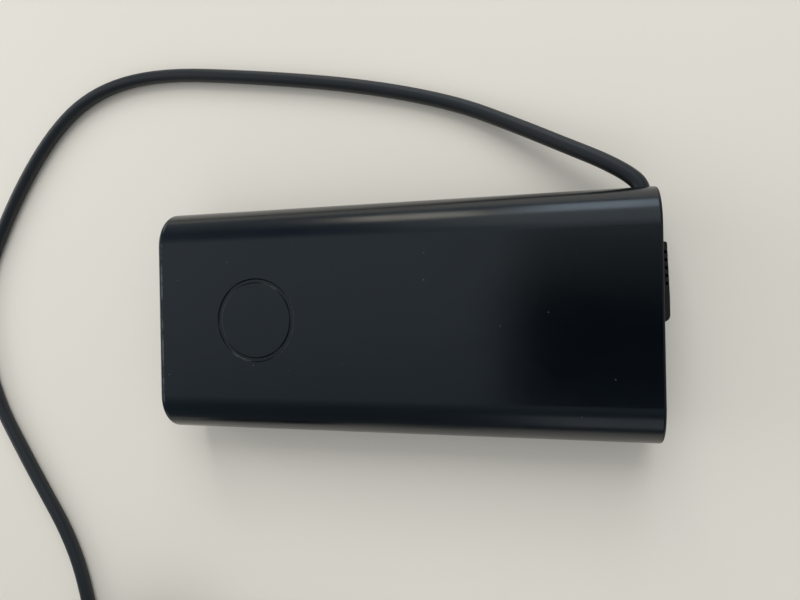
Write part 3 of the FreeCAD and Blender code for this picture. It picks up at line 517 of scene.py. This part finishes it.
# %% [markdown]
# ## The rubber strap
#
# A short strap of black rubber is rooted in the right end and folds along the wall when it isn't used.
# Its rubber is softer and duller than the housing: a brownish black with a dry bloom in its grain.

# %% Rubber
# Moulded thermoplastic rubber: brownish black and dull, with a dry bloom in patches of 1.6 mm
rubber_material = moulded("moulded_rubber_black", "#110D0B", "#231C18", patch=1.6, detail=5.0,
                          shine=(0.5, 0.7), grain=0.2, relief=(0.12, 0.02), ior=1.5)

# %% [markdown]
# The strap is thickest at its root and tapers to its free end. Its outline from above is drawn once,
# pushed up to the strap's height and joined with a round root. The picture shows five dark spots along the
# strap's upper edge. They are drawn as round pits in the upper and lower edge, each in line with a groove
# across the face that gives the fingers a grip. Thin cylinders cut both. The strap rides on its own body,
# so it turns about its root.

# %% Strap
strap_low, strap_high = 5.5, 16.5
strap_back, root_face, tip_face = 71.7, 73.47, 73.02
taper_from, taper_to, strap_end = 4.7, 18.2, 18.6
tip_chamfer = 0.32
strap_outline = [(strap_back, 0.0), (root_face, 0.0), (root_face, taper_from), (tip_face, taper_to),
                 (tip_face - tip_chamfer, strap_end), (strap_back, strap_end)]
root_radius = 1.76
groove_radius, groove_length, groove_offset = 0.55, 6.4, 0.15
pit_radius, pit_depth, pit_skin = 0.44, 2.2, 0.06
groove_places = [8.0, 10.0, 12.0, 14.0, 16.0]


def cable_strap():
    bm = bmesh.new()
    outline = [bm.verts.new(Vector((x, y, strap_low)) * MM) for x, y in strap_outline]
    face = bmesh.ops.contextual_create(bm, geom=outline)["faces"][0]
    raised = bmesh.ops.extrude_face_region(bm, geom=[face])["geom"]
    bmesh.ops.translate(bm, vec=(0, 0, (strap_high - strap_low) * MM),
                        verts=[item for item in raised if isinstance(item, bmesh.types.BMVert)])
    bmesh.ops.recalc_face_normals(bm, faces=bm.faces)
    middle = (strap_low + strap_high) / 2
    height = strap_high - strap_low
    root = cylinder(root_radius, height, (strap_back, 0.0, middle), (0, 0, 1), sides=48)
    bm = combine(bm, [root], "UNION")
    cutters = []
    for y in groove_places:
        face_x = root_face - (root_face - tip_face) * (y - taper_from) / (taper_to - taper_from)
        groove_at = (face_x + groove_offset, y, middle)
        cutters.append(cylinder(groove_radius, groove_length, groove_at, (0, 0, 1), sides=24))
        for end in (strap_low, strap_high):
            pit_at = (face_x - pit_radius - pit_skin, y, end)
            cutters.append(cylinder(pit_radius, 2 * pit_depth, pit_at, (0, 0, 1), sides=16))
    return combine(bm, cutters, "DIFFERENCE")


finish_piece("rubber_strap", cable_strap(), "strap", ["cable_strap"], rubber_material,
             rounding=0.1)

# %% [markdown]
# ## The plug
#
# The plug is moulded on the cord from the same soft PVC as the cord's jacket, in a steel tool, so it is
# black and satin with a fine grain.

# %% Plug plastic
# Soft moulded PVC: black, satin, with a fine eroded grain
plug_material = moulded("moulded_pvc_black", "#0B0D10", "#14171A", patch=6, detail=4.0,
                        shine=(0.38, 0.5), grain=0.2, relief=(0.1, 0.02), ior=1.53)

# %% [markdown]
# The plug has a slotted, tapering sleeve that bends with the cord, and a stiff grip. Both are one turned
# shape. The grip's shoulder follows a smooth step instead of a straight cone, as a real mould does, its
# nose is rounded, and each slot of the sleeve is a notch in the same outline.

# %% Plug grip and its sleeve
sleeve_length, grip_length = 16.0, 24.0
sleeve_radii = (2.75, 3.3)
shoulder_length, shoulder_steps = 5.0, 12
nose_length, nose_drop, nose_steps = 4.0, 1.2, 8
grip_radius, barrel_hole, hole_depth = 5.4, 3.28, 5.0
slot_floor = cord_radius + 0.3
slot_starts = [2.0 + 2.6 * slot for slot in range(5)]
slot_width, slot_slant = 1.1, 0.1


def plug_grip():
    sleeve_slope = (sleeve_radii[1] - sleeve_radii[0]) / sleeve_length
    outline = [(0.0, 0.0), (0.0, sleeve_radii[0] - 0.2), (0.2, sleeve_radii[0])]
    for start in slot_starts:
        outer = sleeve_radii[0] + sleeve_slope * start
        outline += [(start, outer), (start + slot_slant, slot_floor),
                    (start + slot_width - slot_slant, slot_floor),
                    (start + slot_width, outer + sleeve_slope * slot_width)]
    for step in range(shoulder_steps + 1):
        share = step / shoulder_steps
        swell = share * share * (3 - 2 * share)
        outline.append((sleeve_length + shoulder_length * share,
                        sleeve_radii[1] + (grip_radius - sleeve_radii[1]) * swell))
    front = sleeve_length + grip_length
    for step in range(nose_steps + 1):
        angle = math.pi / 2 * step / nose_steps
        outline.append((front - nose_length + nose_length * math.sin(angle),
                        grip_radius - nose_drop * (1 - math.cos(angle))))
    outline += [(front, barrel_hole), (front - hole_depth, barrel_hole), (front - hole_depth, 0.0)]
    return turned(outline, plug_start, (1, 0, 0), (0, 0, 1))


finish_piece("plug_grip", plug_grip(), "root", ["plug_body"], plug_material)

# %% [markdown]
# The metal end is brass under bright nickel. Nickel is a little warmer than chrome, and handling leaves
# fine scratches, which are noise stretched along the plug.

# %% Nickel plate
def nickel_plate():
    """Bright nickel on brass: warm grey, polished, with fine scratches along it."""
    material, tree, shader, place = start_material("nickel_plate_bright", {"Metallic": 1.0})
    stretched = add(tree, "ShaderNodeMapping", {"Vector": place,
                                                "Scale": (1.0, 12.0, 12.0)}).outputs["Vector"]
    scratch = add(tree, "ShaderNodeTexNoise", {"Vector": stretched, "Scale": scale_of(1.2),
                                               "Detail": 5.0}).outputs["Fac"]
    colour = add(tree, "ShaderNodeMix", {0: scratch, 6: linear("#C3BEB4"), 7: linear("#D9D5CC")},
                 data_type="RGBA").outputs[2]
    tree.links.new(colour, shader.inputs["Base Color"])
    polish = add(tree, "ShaderNodeMapRange", {"Value": scratch, "To Min": 0.14, "To Max": 0.3}).outputs[0]
    tree.links.new(polish, shader.inputs["Roughness"])
    bump = add(tree, "ShaderNodeBump", {"Height": scratch, "Strength": 0.1, "Distance": 0.005 * MM})
    tree.links.new(bump.outputs["Normal"], shader.inputs["Normal"])
    return material


nickel_material = nickel_plate()
print("finish:", nickel_material.name)

# %% [markdown]
# The plug's insulator and the mains inlet are glass filled PBT, a stiff plastic that stands heat. It is a
# neutral black, a little shinier than the PVC, with faint streaks where it flowed into the mould.

# %% Black PBT
def inlet_plastic():
    """Glass filled PBT: black, satin, with faint flow streaks from the mould."""
    material, tree, shader, place = start_material("moulded_pbt_black", {"IOR": 1.55})
    streaked = add(tree, "ShaderNodeMapping", {"Vector": place, "Scale": (1.0, 4.0, 1.0)}).outputs["Vector"]
    flow = add(tree, "ShaderNodeTexNoise", {"Vector": streaked, "Scale": scale_of(2.5),
                                            "Detail": 4.0}).outputs["Fac"]
    colour = add(tree, "ShaderNodeMix", {0: flow, 6: linear("#0C0C0D"), 7: linear("#171718")},
                 data_type="RGBA").outputs[2]
    tree.links.new(colour, shader.inputs["Base Color"])
    satin = add(tree, "ShaderNodeMapRange", {"Value": flow, "To Min": 0.32, "To Max": 0.48}).outputs[0]
    tree.links.new(satin, shader.inputs["Roughness"])
    bump = add(tree, "ShaderNodeBump", {"Height": flow, "Strength": 0.05, "Distance": 0.03 * MM})
    tree.links.new(bump.outputs["Normal"], shader.inputs["Normal"])
    return material


inlet_material = inlet_plastic()
print("finish:", inlet_material.name)

# %% [markdown]
# The plug's metal end is a thin sleeve. Inside it, a black insulator carries the contact tube for the
# centre pin. All three are tubes with a root in the grip, so each is one closed outline turned round the
# plug's line.

# %% Plug's metal end
plug_face = sleeve_length + grip_length
barrel_tip = plug_face + 9.5
moulded_in = plug_face - 4.9


def tube(start, end, outer, inner, ease):
    """A tube on the plug's line, with its tip eased, whose outline is closed on itself."""
    outline = [(start, inner), (start, outer), (end - ease, outer), (end, outer - ease), (end, inner)]
    return turned(outline + outline[:1], plug_start, (1, 0, 0), (0, 0, 1), steps=72)


def plug_sleeve():
    """The barrel: a wide root that is moulded in, and the thin sleeve that enters the device."""
    outer, inner, flange = 2.75, 2.4, 3.2
    outline = [(moulded_in, inner), (moulded_in, flange), (plug_face, flange), (plug_face, outer),
               (barrel_tip - 0.2, outer), (barrel_tip, outer - 0.15), (barrel_tip, inner)]
    return turned(outline + outline[:1], plug_start, (1, 0, 0), (0, 0, 1))


finish_piece("plug_sleeve", plug_sleeve(), "root", ["plug_barrel"], nickel_material)
insert_tube = tube(moulded_in, barrel_tip - 0.5, outer=2.35, inner=1.6, ease=0.12)
finish_piece("plug_insert", insert_tube, "root", ["plug_insulator"], inlet_material)
contact_tube = tube(moulded_in, barrel_tip - 1.0, outer=1.55, inner=1.25, ease=0.05)
finish_piece("plug_contact_tube", contact_tube, "root", ["plug_contact"], nickel_material)

# %% [markdown]
# ## The mains inlet
#
# The socket in the left end takes a three-pole mains connector: three round wells that run into each
# other, round two pins side by side and a third one over them. The insert is a block with rounded edges,
# and its face lies a little behind the wall's. The wells are three cylinders cut out of it. The pins are
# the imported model's own solids.

# %% Mains inlet
inlet_face = -71.3
insert_low, insert_high = (-9.5, 3.3), (9.5, 18.7)
well_radius, well_depth, well_floor = 4.3, 12.0, 2.0
pin_places = [(-4.1, 8.7), (4.1, 8.7), (0.0, 13.3)]


def mains_inlet():
    insert_back = inlet_face + well_depth + well_floor
    insert = block((inlet_face, *insert_low), (insert_back, *insert_high), corner=2.1)
    wells = [cylinder(well_radius, 2 * well_depth, (inlet_face, y, z), (1, 0, 0)) for y, z in pin_places]
    return combine(insert, wells, "DIFFERENCE")


finish_piece("inlet_insert", mains_inlet(), "root", ["mains_inlet"], inlet_material,
             rounding=0.2)

# %% [markdown]
# ## The tie round the coil
#
# A strip of woven nylon tape holds the coil. Its threads are about 0.5 mm wide and drawn 0.8 mm apart, so
# that they show. The weave is two crossed sets of waves, one across the tape and one round it, with a
# fuzz of short hairs over them, which the shader's sheen lights up.

# %% Woven tape
def woven_tape():
    """Woven nylon tape: black, matt, fuzzy, with over-and-under threads 0.8 mm apart."""
    material, tree, shader, place = start_material("woven_nylon_black", {"Sheen Weight": 0.35,
                                                                         "Sheen Roughness": 0.5})
    axes = add(tree, "ShaderNodeSeparateXYZ", {"Vector": place})
    run = add(tree, "ShaderNodeMath", {0: axes.outputs["X"], 1: axes.outputs["Z"]},
              operation="ADD").outputs[0]
    turns = 2 * math.pi * scale_of(0.8)
    waves = []
    for way in (run, axes.outputs["Y"]):
        phase = add(tree, "ShaderNodeMath", {0: way, 1: turns}, operation="MULTIPLY").outputs[0]
        waves.append(add(tree, "ShaderNodeMath", {0: phase}, operation="SINE").outputs[0])
    weave = add(tree, "ShaderNodeMath", {0: waves[0], 1: waves[1]}, operation="MULTIPLY").outputs[0]
    level = add(tree, "ShaderNodeMapRange", {"Value": weave, "From Min": -1.0}).outputs[0]
    fuzz = add(tree, "ShaderNodeTexNoise", {"Vector": place, "Scale": scale_of(0.3),
                                            "Detail": 4.0}).outputs["Fac"]
    rough = add(tree, "ShaderNodeMath", {0: fuzz, 1: level}, operation="MULTIPLY").outputs[0]
    colour = add(tree, "ShaderNodeMix", {0: rough, 6: linear("#0A0A0B"), 7: linear("#2B2C2E")},
                 data_type="RGBA").outputs[2]
    tree.links.new(colour, shader.inputs["Base Color"])
    matt = add(tree, "ShaderNodeMapRange", {"Value": fuzz, "To Min": 0.8, "To Max": 1.0}).outputs[0]
    tree.links.new(matt, shader.inputs["Roughness"])
    bump = add(tree, "ShaderNodeBump", {"Height": rough, "Strength": 0.7, "Distance": 0.15 * MM})
    tree.links.new(bump.outputs["Normal"], shader.inputs["Normal"])
    return material


tape_material = woven_tape()
print("finish:", tape_material.name)

# %% [markdown]
# The tie goes once round the bundle and laps over itself on the outer side. It is a rounded block with a
# rounded hollow, and a thin lap joined to its outer side. The bundle curves inside the tie, so the hollow
# is wider than the bundle by the height of that arc.

# %% Tie
tie_width, tie_thickness, tie_gap = 8.0, 0.6, 0.3
lap_low, lap_high, lap_inset = 4.0, 15.0, 0.3


def coil_tie():
    mean = coil_outer - coil_pitch
    half_bundle = coil_pitch / 2 + cord_radius
    inner_bend = tie_width ** 2 / (8 * (mean - half_bundle))
    x0 = coil_centre.x + mean - half_bundle - tie_gap - inner_bend
    x1 = coil_centre.x + mean + half_bundle + tie_gap
    top = coil_centre.z + (coil_layers - 1) * coil_pitch + cord_radius + tie_gap
    y0, y1, t = coil_centre.y - tie_width / 2, coil_centre.y + tie_width / 2, tie_thickness
    outer = block((x0 - t, y0, 0), (x1 + t, y1, top + t), corner=cord_radius, along=(0, 1, 0), segments=8)
    inner = block((x0, y0 - 1, t), (x1, y1 + 1, top), corner=cord_radius - t, along=(0, 1, 0), segments=8)
    lap = block((x1 + t - 0.1, y0 + lap_inset, lap_low), (x1 + 2 * t, y1 - lap_inset, lap_high), corner=0.5)
    return combine(combine(outer, [inner], "DIFFERENCE"), [lap], "UNION")


finish_piece("coil_tie", coil_tie(), "root", ["cord_tie"], tape_material, rounding=0.15)

# %% [markdown]
# ## The cord's jacket
#
# The jacket is PVC, pushed through a round die while hot, so it has a satin skin with a slow waviness and
# fine pits. In the picture, it is the same cool black as the housing, but duller.

# %% Cord material
def cord_jacket():
    """Extruded PVC: cool black, satin, with slow waves and fine pits."""
    material, tree, shader, place = start_material("extruded_pvc_black", {"IOR": 1.53})
    cloud = add(tree, "ShaderNodeTexNoise", {"Vector": place, "Scale": scale_of(14),
                                             "Detail": 4.0}).outputs["Fac"]
    colour = add(tree, "ShaderNodeMix", {0: cloud, 6: linear("#0B0E12"), 7: linear("#14181D")},
                 data_type="RGBA").outputs[2]
    tree.links.new(colour, shader.inputs["Base Color"])
    satin = add(tree, "ShaderNodeMapRange", {"Value": cloud, "To Min": 0.4, "To Max": 0.56}).outputs[0]
    tree.links.new(satin, shader.inputs["Roughness"])
    slow, fine = [add(tree, "ShaderNodeTexNoise", {"Vector": place, "Scale": scale_of(size),
                                                   "Detail": 2.0}).outputs["Fac"] for size in (3.0, 0.3)]
    height = add(tree, "ShaderNodeMath", {0: slow, 1: fine}, operation="ADD").outputs[0]
    bump = add(tree, "ShaderNodeBump", {"Height": height, "Strength": 0.15, "Distance": 0.04 * MM})
    tree.links.new(bump.outputs["Normal"], shader.inputs["Normal"])
    return material


jacket_material = cord_jacket()
cord_curve.materials.append(jacket_material)
print("finish:", jacket_material.name)

# %% [markdown]
# ## What is inside
#
# The circuit is hidden by the closed housing, and shows when the model is opened. Its solids are right as
# they are, so each kind of part gets a material from what it is made of. They share one recipe: two
# colours in a grain of a real size, a shine that varies with it, and a slight relief.

# %% Materials of the parts inside
def grained(name, dark, light, grain, shine, stretch=(1.0, 1.0, 1.0), relief=0.02, constants=None):
    """Two colours and two roughness values in a grain that is given in millimetres, with a relief."""
    material, tree, shader, place = start_material(name, constants or {})
    vector = add(tree, "ShaderNodeMapping", {"Vector": place, "Scale": stretch}).outputs["Vector"]
    grain_field = add(tree, "ShaderNodeTexNoise", {"Vector": vector, "Scale": scale_of(grain),
                                                   "Detail": 4.0}).outputs["Fac"]
    colour = add(tree, "ShaderNodeMix", {0: grain_field, 6: linear(dark), 7: linear(light)},
                 data_type="RGBA").outputs[2]
    tree.links.new(colour, shader.inputs["Base Color"])
    rough = add(tree, "ShaderNodeMapRange", {"Value": grain_field, "To Min": shine[0],
                                             "To Max": shine[1]}).outputs[0]
    tree.links.new(rough, shader.inputs["Roughness"])
    bump = add(tree, "ShaderNodeBump", {"Height": grain_field, "Strength": 0.3, "Distance": relief * MM})
    tree.links.new(bump.outputs["Normal"], shader.inputs["Normal"])
    return material


def soldered_board():
    """Glass epoxy board under green solder mask, with tracks that show as paler, raised lines."""
    material, tree, shader, place = start_material("green_solder_mask", {"IOR": 1.55, "Roughness": 0.35})
    tracks = add(tree, "ShaderNodeTexBrick", {"Vector": place, "Scale": scale_of(12), "Mortar Size": 0.05,
                                              "Color1": linear("#14502C"), "Color2": linear("#1A5A33"),
                                              "Mortar": linear("#3A7A48")})
    tree.links.new(tracks.outputs["Color"], shader.inputs["Base Color"])
    bump = add(tree, "ShaderNodeBump", {"Height": tracks.outputs["Fac"], "Strength": 0.4,
                                        "Distance": 0.035 * MM})
    tree.links.new(bump.outputs["Normal"], shader.inputs["Normal"])
    return material


metal = {"Metallic": 1.0}
finishes = {
    "housing_plastic": housing_material,
    "inlet_plastic": inlet_material,
    "plated_metal": nickel_material,
    "soft_rubber": rubber_material,
    "plug_grip": plug_material,
    "cord_jacket": jacket_material,
    "woven_tape": tape_material,
    "circuit_board": soldered_board(),
    # Rolled sheet is streaked the way it was rolled, along X
    "sheet_aluminium": grained("rolled_aluminium", "#B4B7BA", "#CDD0D2", 0.8, (0.28, 0.42),
                               (0.05, 1.0, 1.0), 0.004, metal),
    "clear_film": grained("polyester_film", "#D9DCD6", "#E6E8E2", 8.0, (0.1, 0.22), constants={
        "Transmission Weight": 0.85, "IOR": 1.64}),
    "silicone_pad": grained("silicone_pad_grey", "#8E9296", "#A3A7AA", 0.4, (0.6, 0.8)),
    "glazed_ceramic": grained("epoxy_dipped_ceramic", "#1E4FA0", "#2A62B8", 1.5, (0.12, 0.25)),
    "moulded_case": grained("moulded_case_yellow", "#C79A22", "#D9AE35", 0.5, (0.4, 0.55)),
    "black_epoxy": grained("moulded_epoxy_black", "#121214", "#1E1F21", 0.15, (0.5, 0.7)),
    "ferrite": grained("sintered_ferrite", "#2A2A2C", "#3D3D40", 0.2, (0.55, 0.75), relief=0.03),
    # Enamelled wire is laid in turns along Z
    "copper_wire": grained("enamelled_copper", "#A3491E", "#C4662F", 0.6, (0.2, 0.35),
                           (0.3, 0.3, 1.0), 0.1, metal),
    "winding_tape": grained("polyester_tape_yellow", "#C9A40F", "#DDBC2A", 3.0, (0.2, 0.32)),
    "capacitor_sleeve": grained("shrink_sleeve_blue", "#10223F", "#1A3058", 4.0, (0.25, 0.4)),
    "wire_insulation": grained("wire_pvc_red", "#8E1612", "#A62019", 1.0, (0.4, 0.55)),
}
print("finishes:", len(finishes))

# %% [markdown]
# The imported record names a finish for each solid. Every solid gets it, also one that a new piece stands
# for, so that a part that is shown on its own is never bare.

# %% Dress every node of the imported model
for part in frame["record"]["subparts"]:
    mesh = frame["nodes"][part["node"]].data
    mesh.materials.clear()
    mesh.materials.append(finishes[part["material_slot"]])

# %% [markdown]
# ## The table and the light
#
# The table is a pale, smooth painted board, wide enough to fill the picture. It is stage and not a part of
# the object. Its own colour is a warm white, so that neutral light shows it as it is.

# %% Table
def painted_board():
    """A pale painted board: warm white, smooth, clouded by use in patches a third of a metre wide."""
    material, tree, shader, place = start_material("painted_board", {"Roughness": 0.55})
    cloudy = add(tree, "ShaderNodeTexNoise", {"Vector": place, "Scale": 3.0, "Detail": 3.0}).outputs["Fac"]
    colour = add(tree, "ShaderNodeMix", {0: cloudy, 6: linear("#DEDBD4"), 7: linear("#E7E5DF")},
                 data_type="RGBA").outputs[2]
    tree.links.new(colour, shader.inputs["Base Color"])
    return material


floor_bm = bmesh.new()
bmesh.ops.create_grid(floor_bm, x_segments=1, y_segments=1, size=1.5)
floor_mesh = bpy.data.meshes.new("table_top")
floor_bm.to_mesh(floor_mesh)
floor_bm.free()
floor_mesh.materials.append(painted_board())
table_top = bpy.data.objects.new("table_top", floor_mesh)
scene.collection.objects.link(table_top)
print("table", table_top.dimensions.x, "m wide")

# %% [markdown]
# The housing mirrors the room: a bright ceiling over it, darker walls before and behind it, and a glow
# over its far side. The world is a ramp of colours from the near side to the far side, as its direction's
# Y says, with the glow added round one direction. Diffuse rays see one neutral grey instead, so that the
# table's shadows aren't blue, and the camera sees a plain pale backdrop.

# %% Room
room = bpy.data.worlds.new("room")
scene.world = room
room.use_nodes = True
tree = room.node_tree
sky = tree.nodes["Background"]
heading = add(tree, "ShaderNodeTexCoord").outputs["Generated"]
sideways = add(tree, "ShaderNodeSeparateXYZ", {"Vector": heading}).outputs["Y"]
across = add(tree, "ShaderNodeMapRange", {"Value": sideways, "From Min": -1.0, "From Max": 1.0}).outputs[0]
walls = add(tree, "ShaderNodeValToRGB", {"Fac": across})
room_colours = [(-0.9, "#59636C"), (-0.5, "#5E6E7B"), (-0.2, "#909DA6"), (0.0, "#B8C5CF"),
                (0.19, "#BFCDD8"), (0.42, "#64788A"), (0.62, "#5C6C7E"), (0.85, "#95A2AC")]
for turn, (reach, code) in enumerate(room_colours):
    place = (reach + 1) / 2
    stop = walls.color_ramp.elements[turn] if turn < 2 else walls.color_ramp.elements.new(place)
    stop.position = place
    stop.color = linear(code)
glow_from = Vector((0.14, 0.62, 0.77)).normalized()
toward = add(tree, "ShaderNodeVectorMath", {0: heading, 1: glow_from},
             operation="DOT_PRODUCT").outputs["Value"]
glow = add(tree, "ShaderNodeMapRange", {"Value": toward, "From Min": 0.88, "From Max": 0.97},
           interpolation_type="SMOOTHSTEP").outputs[0]
tint = add(tree, "ShaderNodeMix", {0: glow, 6: walls.outputs["Color"], 7: linear("#E9F6FF")},
           data_type="RGBA").outputs[2]
rays = add(tree, "ShaderNodeLightPath")
shown = add(tree, "ShaderNodeMix", {0: rays.outputs["Is Diffuse Ray"], 6: tint, 7: linear("#BCBBB8")},
            data_type="RGBA").outputs[2]
shown = add(tree, "ShaderNodeMix", {0: rays.outputs["Is Camera Ray"], 6: shown, 7: linear("#E4E3DE")},
            data_type="RGBA").outputs[2]
tree.links.new(shown, sky.inputs["Color"])
sky.inputs["Strength"].default_value = 1.0
print("room colours:", len(room_colours))

# %% [markdown]
# Five soft lamps stand for windows. Two low ones behind the far side draw the bright bands along the far
# flank, one lights the left end, and one is a faint glow on the near wall. The fifth is the daylight from
# the far side that lights the table. It is left out of reflections, where the ramp stands for it.
# Radiance is the light that each square metre of lamp gives, so a lamp's size can change on its own.

# %% Windows
def window(name, azimuth, elevation, size, radiance, colour, mirrored=True, distance=2.0):
    """A soft rectangular lamp in a direction in degrees, with its size in metres, that faces the object."""
    turn, tilt = math.radians(azimuth), math.radians(elevation)
    towards = Vector((math.cos(tilt) * math.cos(turn), math.cos(tilt) * math.sin(turn), math.sin(tilt)))
    lamp = bpy.data.lights.new(name, "AREA")
    lamp.shape = "RECTANGLE"
    lamp.size, lamp.size_y = size
    lamp.energy = math.pi * radiance * size[0] * size[1]
    lamp.color = linear(colour)[:3]
    holder = bpy.data.objects.new(name, lamp)
    holder.location = towards * distance
    holder.rotation_euler = towards.to_track_quat("Z", "Y").to_euler()
    holder.visible_glossy = mirrored
    scene.collection.objects.link(holder)
    print(name, "power", round(lamp.energy, 1), "W")


window("left_window", 172, 20, (1.9, 0.7), 2.4, "#FFFBF5")
window("far_window_warm", 104, 24, (0.4, 0.62), 4.0, "#FFF7E6")
window("far_window_cool", 84, 21, (0.5, 0.8), 3.2, "#DDEFFF")
window("near_wall_glow", -82, 32, (0.6, 1.1), 0.6, "#E6F2FA")
window("daylight", 84, 42, (1.0, 0.86), 3.0, "#FFFBF5", mirrored=False, distance=1.27)

# %% [markdown]
# The camera hung over the housing's right half, so the plastic mirrors a dark patch there, with a softer
# one beyond it. Two level cards at about the camera's height stand for them, and show in reflections only.

# %% Camera's own mirror image
def mirrored_card(name, low, high, height, colour):
    """A level card that shows in reflections only."""
    bm = bmesh.new()
    bmesh.ops.create_grid(bm, x_segments=1, y_segments=1, size=0.5)
    bmesh.ops.scale(bm, vec=(high[0] - low[0], high[1] - low[1], 1), verts=bm.verts)
    bmesh.ops.translate(bm, vec=((high[0] + low[0]) / 2, (high[1] + low[1]) / 2, height), verts=bm.verts)
    mesh = bpy.data.meshes.new(name)
    bm.to_mesh(mesh)
    bm.free()
    matt = {"Roughness": 1.0, "Specular IOR Level": 0.0, "Base Color": linear(colour)}
    mesh.materials.append(start_material(name, matt)[0])
    card = bpy.data.objects.new(name, mesh)
    scene.collection.objects.link(card)
    card.visible_camera = False
    card.visible_diffuse = False
    card.visible_shadow = False
    print(name, "at height", height, "m")


mirrored_card("camera_shade", (0.018, -0.060), (0.200, 0.013), 0.190, "#020304")
mirrored_card("hand_shade", (0.026, 0.013), (0.200, 0.042), 0.192, "#8A8E92")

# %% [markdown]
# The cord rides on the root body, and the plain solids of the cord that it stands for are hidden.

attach(cord, "root")
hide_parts("cord_run", "cord_coil", "cord_tail")
